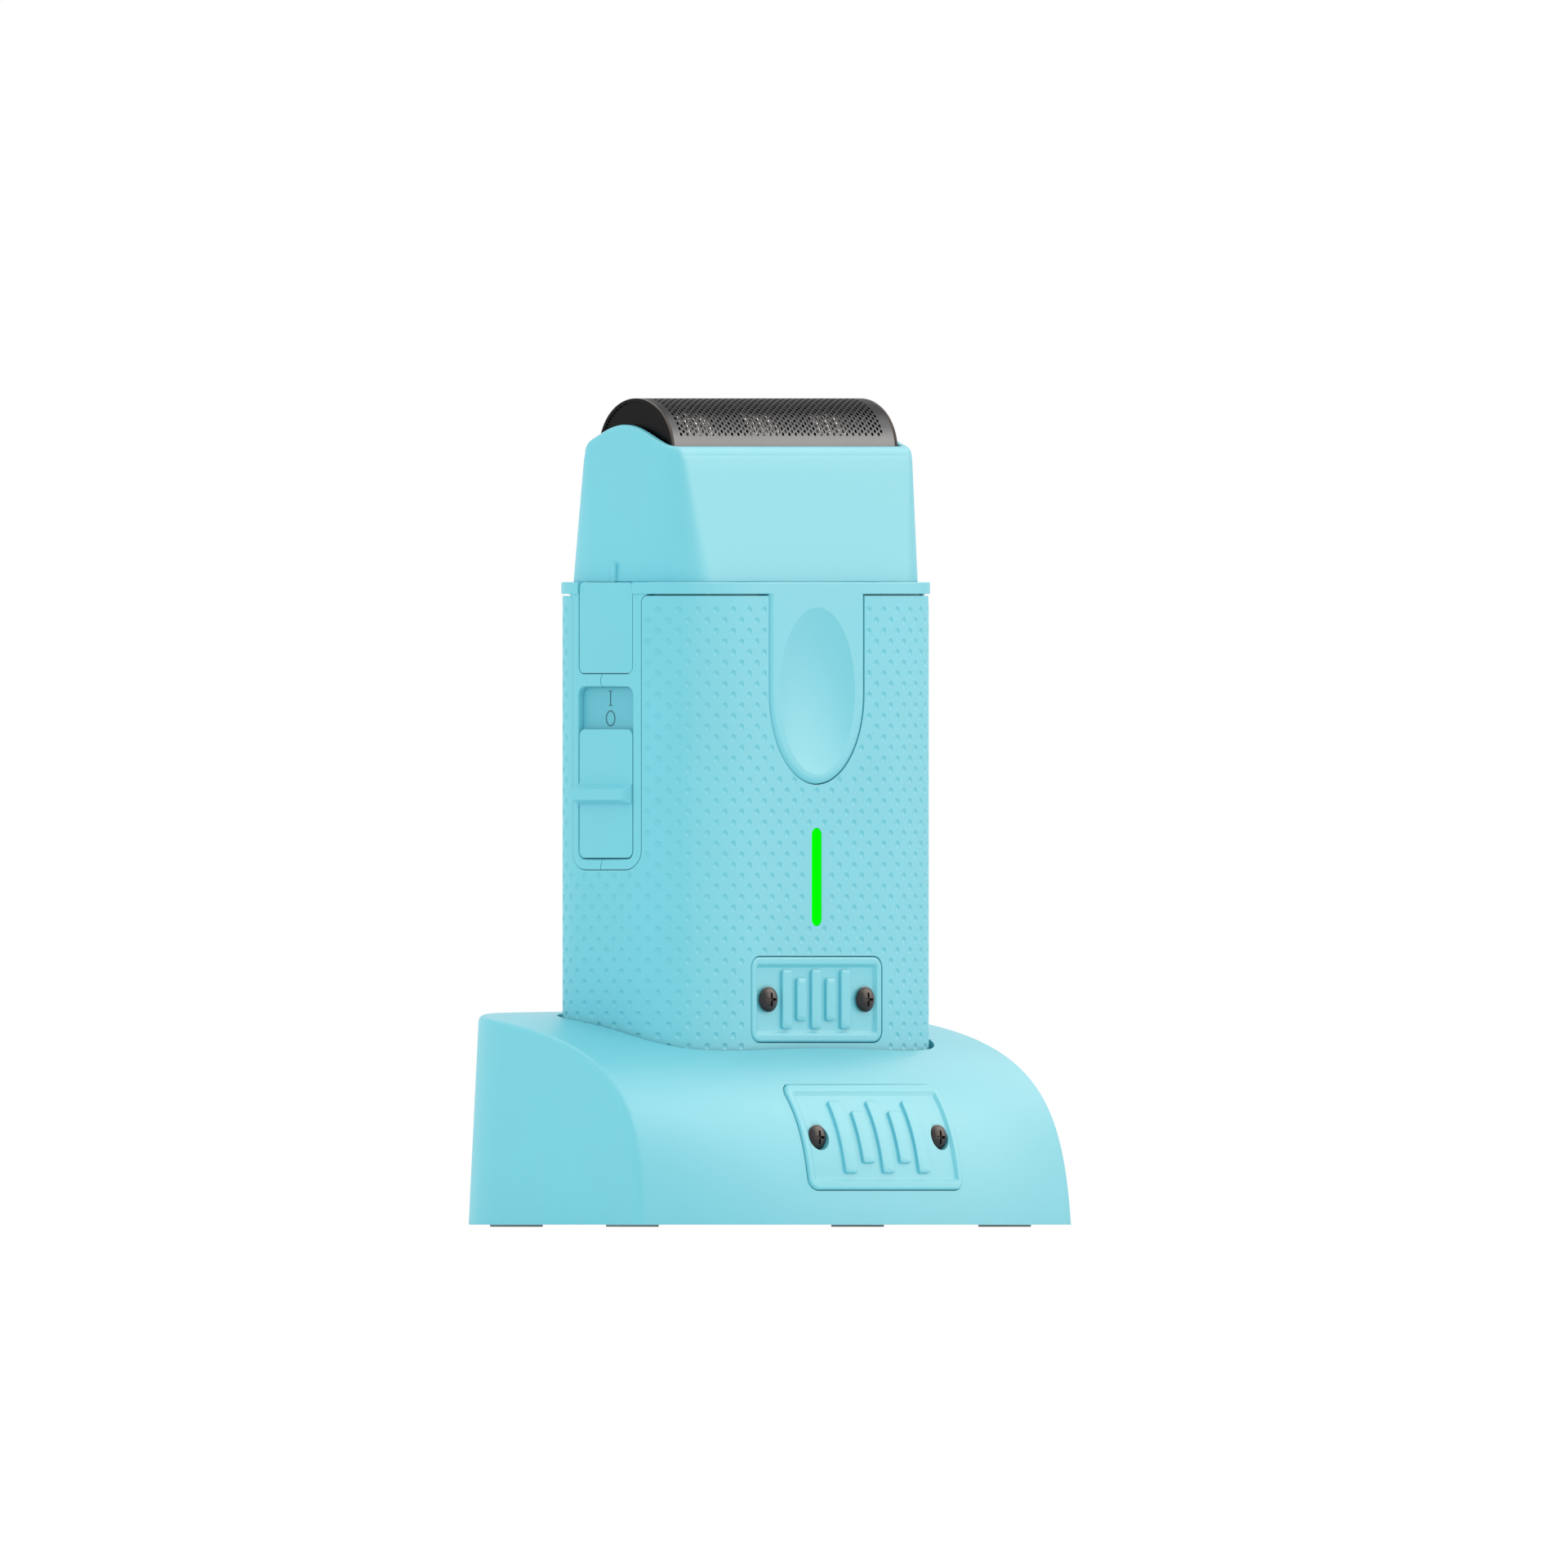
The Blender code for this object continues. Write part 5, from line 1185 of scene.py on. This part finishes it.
def make_switch():
    face_outline = lambda i: control_outline((SLOT_Z[0], SLIDER_TOP), CONTROL_CORNER, i + 0.15)
    face = slab(face_outline, 31.3, 34, facing=FACING_SIDE[-1])
    face = keep_inside(face, slab(lambda i: body_section(0.08 + i), 40, 110))
    near, rear = CONTROL_Y - CONTROL_HALF + 0.2, CONTROL_Y + CONTROL_HALF + 0.1
    ledge_rings = []
    for x, moved, low_z, high_z in (
        (31.6, 0.0, 67.05, 71.0),
        (32.0, 0.0, 67.15, 70.65),
        (32.2, 0.05, 67.3, 70.4),
        (33.35, 0.55, 67.85, 69.75),
        (33.52, 0.65, 67.95, 69.65),
        (33.6, 0.8, 68.1, 69.5),
    ):
        ring = rounded_box((near + moved, rear), (low_z, high_z), 0.3, 0.0, 5)
        ledge_rings.append([(-x, y, z) for y, z in ring])
    post = box((-31.6, -27.4), (-1.1, 1.1), (67.4, 70.2))
    stand_for("power_slider", join(face, loft(ledge_rings), post), 32)

    plate_outline = lambda i: rounded_box(*cad_face("switch_plate", axes=(1, 2)), 1.0, i)
    plate = slab(plate_outline, 28.0, 29.2, facing=FACING_SIDE[-1])
    level = -cad_box("switch_plate")[0][0]
    field_outline = lambda i: control_outline(SLOT_Z, CONTROL_CORNER, i + 0.04)
    field = slab(field_outline, 28.6, level, facing=FACING_SIDE[-1])
    slit = box((-35, -20), (-1.5, 1.5), (66.8, 77.6))
    # The plate's darker aqua is painted shade for its place down in the slot.
    stand_for("switch_plate", cut(join(plate, field), slit), material=SHADED_SLOT_FLOOR)
    make_marks(level)


def make_marks(level):
    """The I and O on the slot's floor, which is level out from the axis."""
    stroke, serif_half, serif_tall = 0.18, 0.42, 0.12
    foot, head = 82.95, 85.35
    middle_y = CONTROL_Y - 0.1
    x = (-level - 0.04, -level + 0.1)
    bars = []
    for half, z in (
        (stroke / 2, (foot, head)),
        (serif_half, (head - serif_tall, head)),
        (serif_half, (foot, foot + serif_tall)),
    ):
        bars.append(box(x, (middle_y - half, middle_y + half), z))
    piece("mark_on", join(*bars), "shaver", "black_plastic", material=MARK)

    rings = []
    for shrink, height in ((0.0, -0.1), (0.0, 0.04), (stroke, 0.04), (stroke, -0.1)):
        wide, tall = 1.06 - shrink, 1.26 - shrink
        ring = [(-level - height, middle_y + wide * cos(a), 80.95 + tall * sin(a)) for a in circle(48)]
        rings.append(ring)
    piece("mark_off", loft(rings, ends_meet=True), "shaver", "black_plastic", material=MARK)


# ---- head


def head_ring(share, height, inset, steps=14, pieces=24):
    """The head's plan outline at a share of its height; height is a number or a function of y."""
    half_x, half_y, radius, shift = (b + (t - b) * share for b, t in zip(HEAD_BASE, HEAD_TOP))
    outline = rounded_box((-half_x, half_x), (shift - half_y, shift + half_y), radius, inset, steps)
    points = []
    for k, ((x0, y0), (x1, y1)) in enumerate(looped(outline)):
        count = pieces if k % (2 * steps + 2) == steps else 1
        for i in range(count):
            x, y = x0 + (x1 - x0) * i / count, y0 + (y1 - y0) * i / count
            points.append((x, y, height(y) if callable(height) else height))
    return points


def rim_height(y, lower=0.0):
    across = min(abs(y - HEAD_CREST[0]) / HEAD_CREST[1], 1.0)
    return HEAD_RIM + HEAD_WAVE * cos(pi / 2 * across) ** 1.6 - lower


def rib_outline(inset):
    """The upright rib over a release button in Y and Z, rounded at its top."""
    half = 0.54 - inset
    turns = np.linspace(0, pi, 13)
    top = [(CONTROL_Y + half * cos(a), 105.2 + half * sin(a)) for a in turns]
    return [(CONTROL_Y - half, RING_TOP + 0.04), (CONTROL_Y + half, RING_TOP + 0.04), *top]


def make_head():
    tall = HEAD_RIM - HEAD_BOTTOM
    foot = RING_TOP + 0.01
    rings = [head_ring(0.0, foot, 0.1), head_ring(0.0, foot + 0.1, 0.0), head_ring(0.0, HEAD_BOTTOM, 0.0)]
    rings += [head_ring(share, HEAD_BOTTOM + share * tall, 0.0) for share in np.linspace(0.1, 0.9, 9)]
    soft_in, soft_down, soft_inner = 0.9, 1.6, 0.3
    over = [(soft_down * (1 - sin(a)), soft_in * (1 - cos(a))) for a in quarter_turn(9)]
    for a in quarter_turn(5):
        over.append((soft_inner * (1 - cos(a)), HEAD_WALL - soft_inner * (1 - sin(a))))
    rings += [head_ring(1.0, lambda y, lower=lower: rim_height(y, lower), inset) for lower, inset in over]
    rings += [head_ring(share, HEAD_BOTTOM + share * tall, HEAD_WALL) for share in (0.8, 0.5, 0.2, 0.0)]
    rings.append(head_ring(0.0, foot, HEAD_WALL))

    share = (HEAD_FLOOR_Z[0] - HEAD_BOTTOM) / tall
    outline = [(x, y) for x, y, _ in head_ring(share, 0.0, HEAD_WALL - 0.6)]
    extra = [cut(slab(lambda i: outline, *HEAD_FLOOR_Z), box(*CUTTER_WINDOW, (90, 120)))]
    for side in (-1, 1):
        extra.append(box((side * 26.3, side * 25.3), (-3.5, 3.5), (95.0, 109.4)))
        extra.append(slab(rib_outline, 28.5, 30.5, 0.0, 0.3, FACING_SIDE[side]))
    stand_for("head_frame", join(loft(rings, ends_meet=True), *extra), 32)


def arch(radius, bottom, inset=0.0, steps=48):
    """Half a circle on straight legs, in Y and Z."""
    r = radius - inset
    points = [(FOIL_Y - r, bottom + inset), (FOIL_Y + r, bottom + inset)]
    for i in range(steps + 1):
        angle = pi * i / steps
        points.append((FOIL_Y + r * cos(angle), FOIL_Z + r * sin(angle)))
    return points


def make_end_caps():
    pitch = 0.46
    for side, word in ((-1, "left"), (1, "right")):
        node = f"foil_end_cap_{word}"
        outer = max(abs(corner[0]) for corner in cad_box(node))
        levels = fillet_levels(FOIL_HALF + 0.03, outer, 0.03, 0.12)
        levels += [(0.56, outer), (0.6, outer - 0.04), (0.62, outer - 0.3)]
        outline = lambda i: arch(FOIL_RADIUS, FOIL_BOTTOM, i)
        cap = loft_levels(outline, levels, FACING_SIDE[side])
        ribs = []
        for z in np.arange(FOIL_BOTTOM + 0.9, FOIL_Z + FOIL_RADIUS - 0.7, pitch):
            x = (side * (outer - 0.4), side * (outer - 0.1))
            ribs.append(box(x, (FOIL_Y - FOIL_RADIUS, FOIL_Y + FOIL_RADIUS), (z - 0.1, z + 0.1)))
        well = slab(lambda i: outline(0.61), 20, 30, facing=FACING_SIDE[side])
        stand_for(node, join(cap, keep_inside(join(*ribs), well)), material=CAP_BLACK)


def blades(outline, places, half):
    """Blades with an outline in Y and Z, reaching half each way in X from their places."""
    return [slab(outline, x - half, x + half, facing=FACING_SIDE[1]) for x in places]


def make_cassette():
    low, high = cad_box("cassette_frame")
    outline = lambda i: rounded_box(*cad_face("cassette_frame", axes=(0, 1)), 1.5, i)
    ring = slab(outline, low[2], high[2], 0.2, 0.2)
    stand_for("cassette_frame", cut(ring, box(*CUTTER_WINDOW, (100, 130))))

    low, high = cad_box("cutter_block")
    radius = high[1] - FOIL_Y
    base = box((low[0], high[0]), (low[1] + 0.2, high[1] - 0.2), (low[2], low[2] + 2.0))
    count = 36
    pitch = (high[0] - low[0]) / count
    places = [low[0] + pitch * (k + 0.5) for k in range(count)]
    row = blades(lambda i: arch(radius, low[2], i, 32), places, 0.22 * pitch)
    stand_for("cutter_block", join(base, *row))

    thin_arch = lambda i: arch(radius - 0.02, low[2] + 2.1, i)
    front = box((-40, 40), (FOIL_Y - 9, FOIL_Y - 4.4), (FOIL_Z + 2.4, FOIL_Z + 7.2))
    for k, middle in enumerate(BRIGHT_BLADES):
        places = np.arange(middle - 3.3, middle + 3.31, 0.55)
        bright = keep_inside(join(*blades(thin_arch, places, 0.13)), front)
        piece(f"bright_blades_{k + 1}", bright, BODY_OF["cutter_block"], "foil_steel", material=CLIP_STEEL)


# ---- springs


def coil(radius, wire, length, turns, along):
    """A compression spring from 0 to length along an axis, with a closed turn at each end."""
    rings = []
    count = 28 * (turns + 2)
    for k in range(count + 1):
        turn = (turns + 2) * k / count
        share = min(max((turn - 1) / turns, 0.0), 1.0)
        closed = 2 * wire * (min(turn, 1.0) + max(turn - turns - 1, 0.0))
        height = wire + closed + share * (length - 6 * wire)
        angle = 2 * pi * turn
        ring = []
        for roll in circle(12):
            reach = radius + wire * cos(roll)
            point = [reach * cos(angle), reach * sin(angle)]
            point.insert(along, height + wire * sin(roll))
            ring.append(tuple(point))
        rings.append(ring)
    return loft(rings)


def make_springs():
    for joint in RECORD["behaviour"]["joints"]:
        for link in joint.get("deforming_nodes", []):
            node = link["node"]
            wire, turns = SPRING_WIRE[node.split("_spring")[0]]
            low, high = cad_box(node)
            along = "xyz".index(link["mode"][-1])
            across = (along + 1) % 3
            length = high[along] - low[along]
            foot = cad_middle(node)
            foot[along] = low[along]
            mesh = coil((high[across] - low[across]) / 2 - wire, wire, length, turns, along)
            mesh.transform(Matrix.Translation(foot))
            shape = stand_for(node, mesh)
            axis, anchor = [0, 0, 0], [0, 0, 0]
            axis[along] = 1
            anchor[along] = link[f"fixed_end_{'xyz'[along]}_m"]
            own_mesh(shape)
            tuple(axis)
            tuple(anchor)


# ---- studio


def make_floor():
    work = bmesh.new()
    bmesh.ops.create_grid(work, x_segments=1, y_segments=1, size=3.0)
    floor = add_object("studio_floor", to_mesh(work))
    floor.data.materials.append(node_material("floor_white", (0.92, 0.92, 0.92), 0.8, mottle=0.01))


def make_sky():
    """White behind the object, and AMBIENT light all round."""
    world = bpy.data.worlds.new("studio")
    world.use_nodes = True
    sky = world.node_tree.nodes["Background"]
    set_inputs(sky, Color=(1.0, 1.0, 1.0, 1.0))
    seen = add_node(world, "LightPath")
    strength = add_node(world, "MapRange", To_Min=AMBIENT, To_Max=1.0)
    wire(world, (seen, "Is Camera Ray", strength, "Value"), (strength, "Result", sky, "Strength"))
    bpy.context.scene.world = world
    bpy.context.scene.view_settings.view_transform = "Standard"


def make_lamp(name, place, size, power, colour, shine):
    """A square lamp aimed at the object, seen only in its gloss (shine) or only in its matt light."""
    lamp = bpy.data.lights.new(name, "AREA")
    lamp.size = size
    lamp.energy = power
    lamp.color = colour
    holder = add_object(name, lamp)
    holder.location = place
    holder.visible_diffuse = not shine
    holder.visible_glossy = shine
    aim = Vector((0, 0, 0.07)) - holder.location
    holder.rotation_euler = aim.to_track_quat("-Z", "Y").to_euler()


def make_camera():
    """Level and at 45 degrees to the front, as in the photo, without perspective."""
    camera = bpy.data.cameras.new("camera")
    camera.type = "ORTHO"
    camera.ortho_scale = VIEW_WIDTH
    holder = add_object("camera", camera)
    right = Vector((cos(VIEW_AZIMUTH), sin(VIEW_AZIMUTH), 0))
    back = Vector((sin(VIEW_AZIMUTH), -cos(VIEW_AZIMUTH), 0))
    target = Vector((0, AXIS_Y / 1000, VIEW_HEIGHT)) + VIEW_ASIDE * right
    holder.location = target + VIEW_DISTANCE * back
    holder.rotation_euler = (pi / 2, 0, VIEW_AZIMUTH)
    bpy.context.scene.camera = holder


make_floor()
make_sky()
make_lamp("sheen", (0.91, -0.85, 0.71), 1.4, 21.0, (1.0, 0.79, 0.63), True)
make_lamp("high_sheen", (0.62, -0.15, 1.15), 2.2, 20.0, (1.0, 0.84, 0.72), True)
make_lamp("left_fill", (-1.2, 0.1, 0.3), 1.0, 1.2, (1.0, 1.0, 1.0), False)
make_camera()
make_dock()
make_badges()
make_housings()
make_grip()
make_body_details()
make_switch()
make_head()
make_foil()
make_end_caps()
make_cassette()
make_springs()

for node, shape in frame["nodes"].items():
    for place in shape.material_slots:
        place.link = "OBJECT"
        place.material = MATERIALS[SLOT_OF[node]]
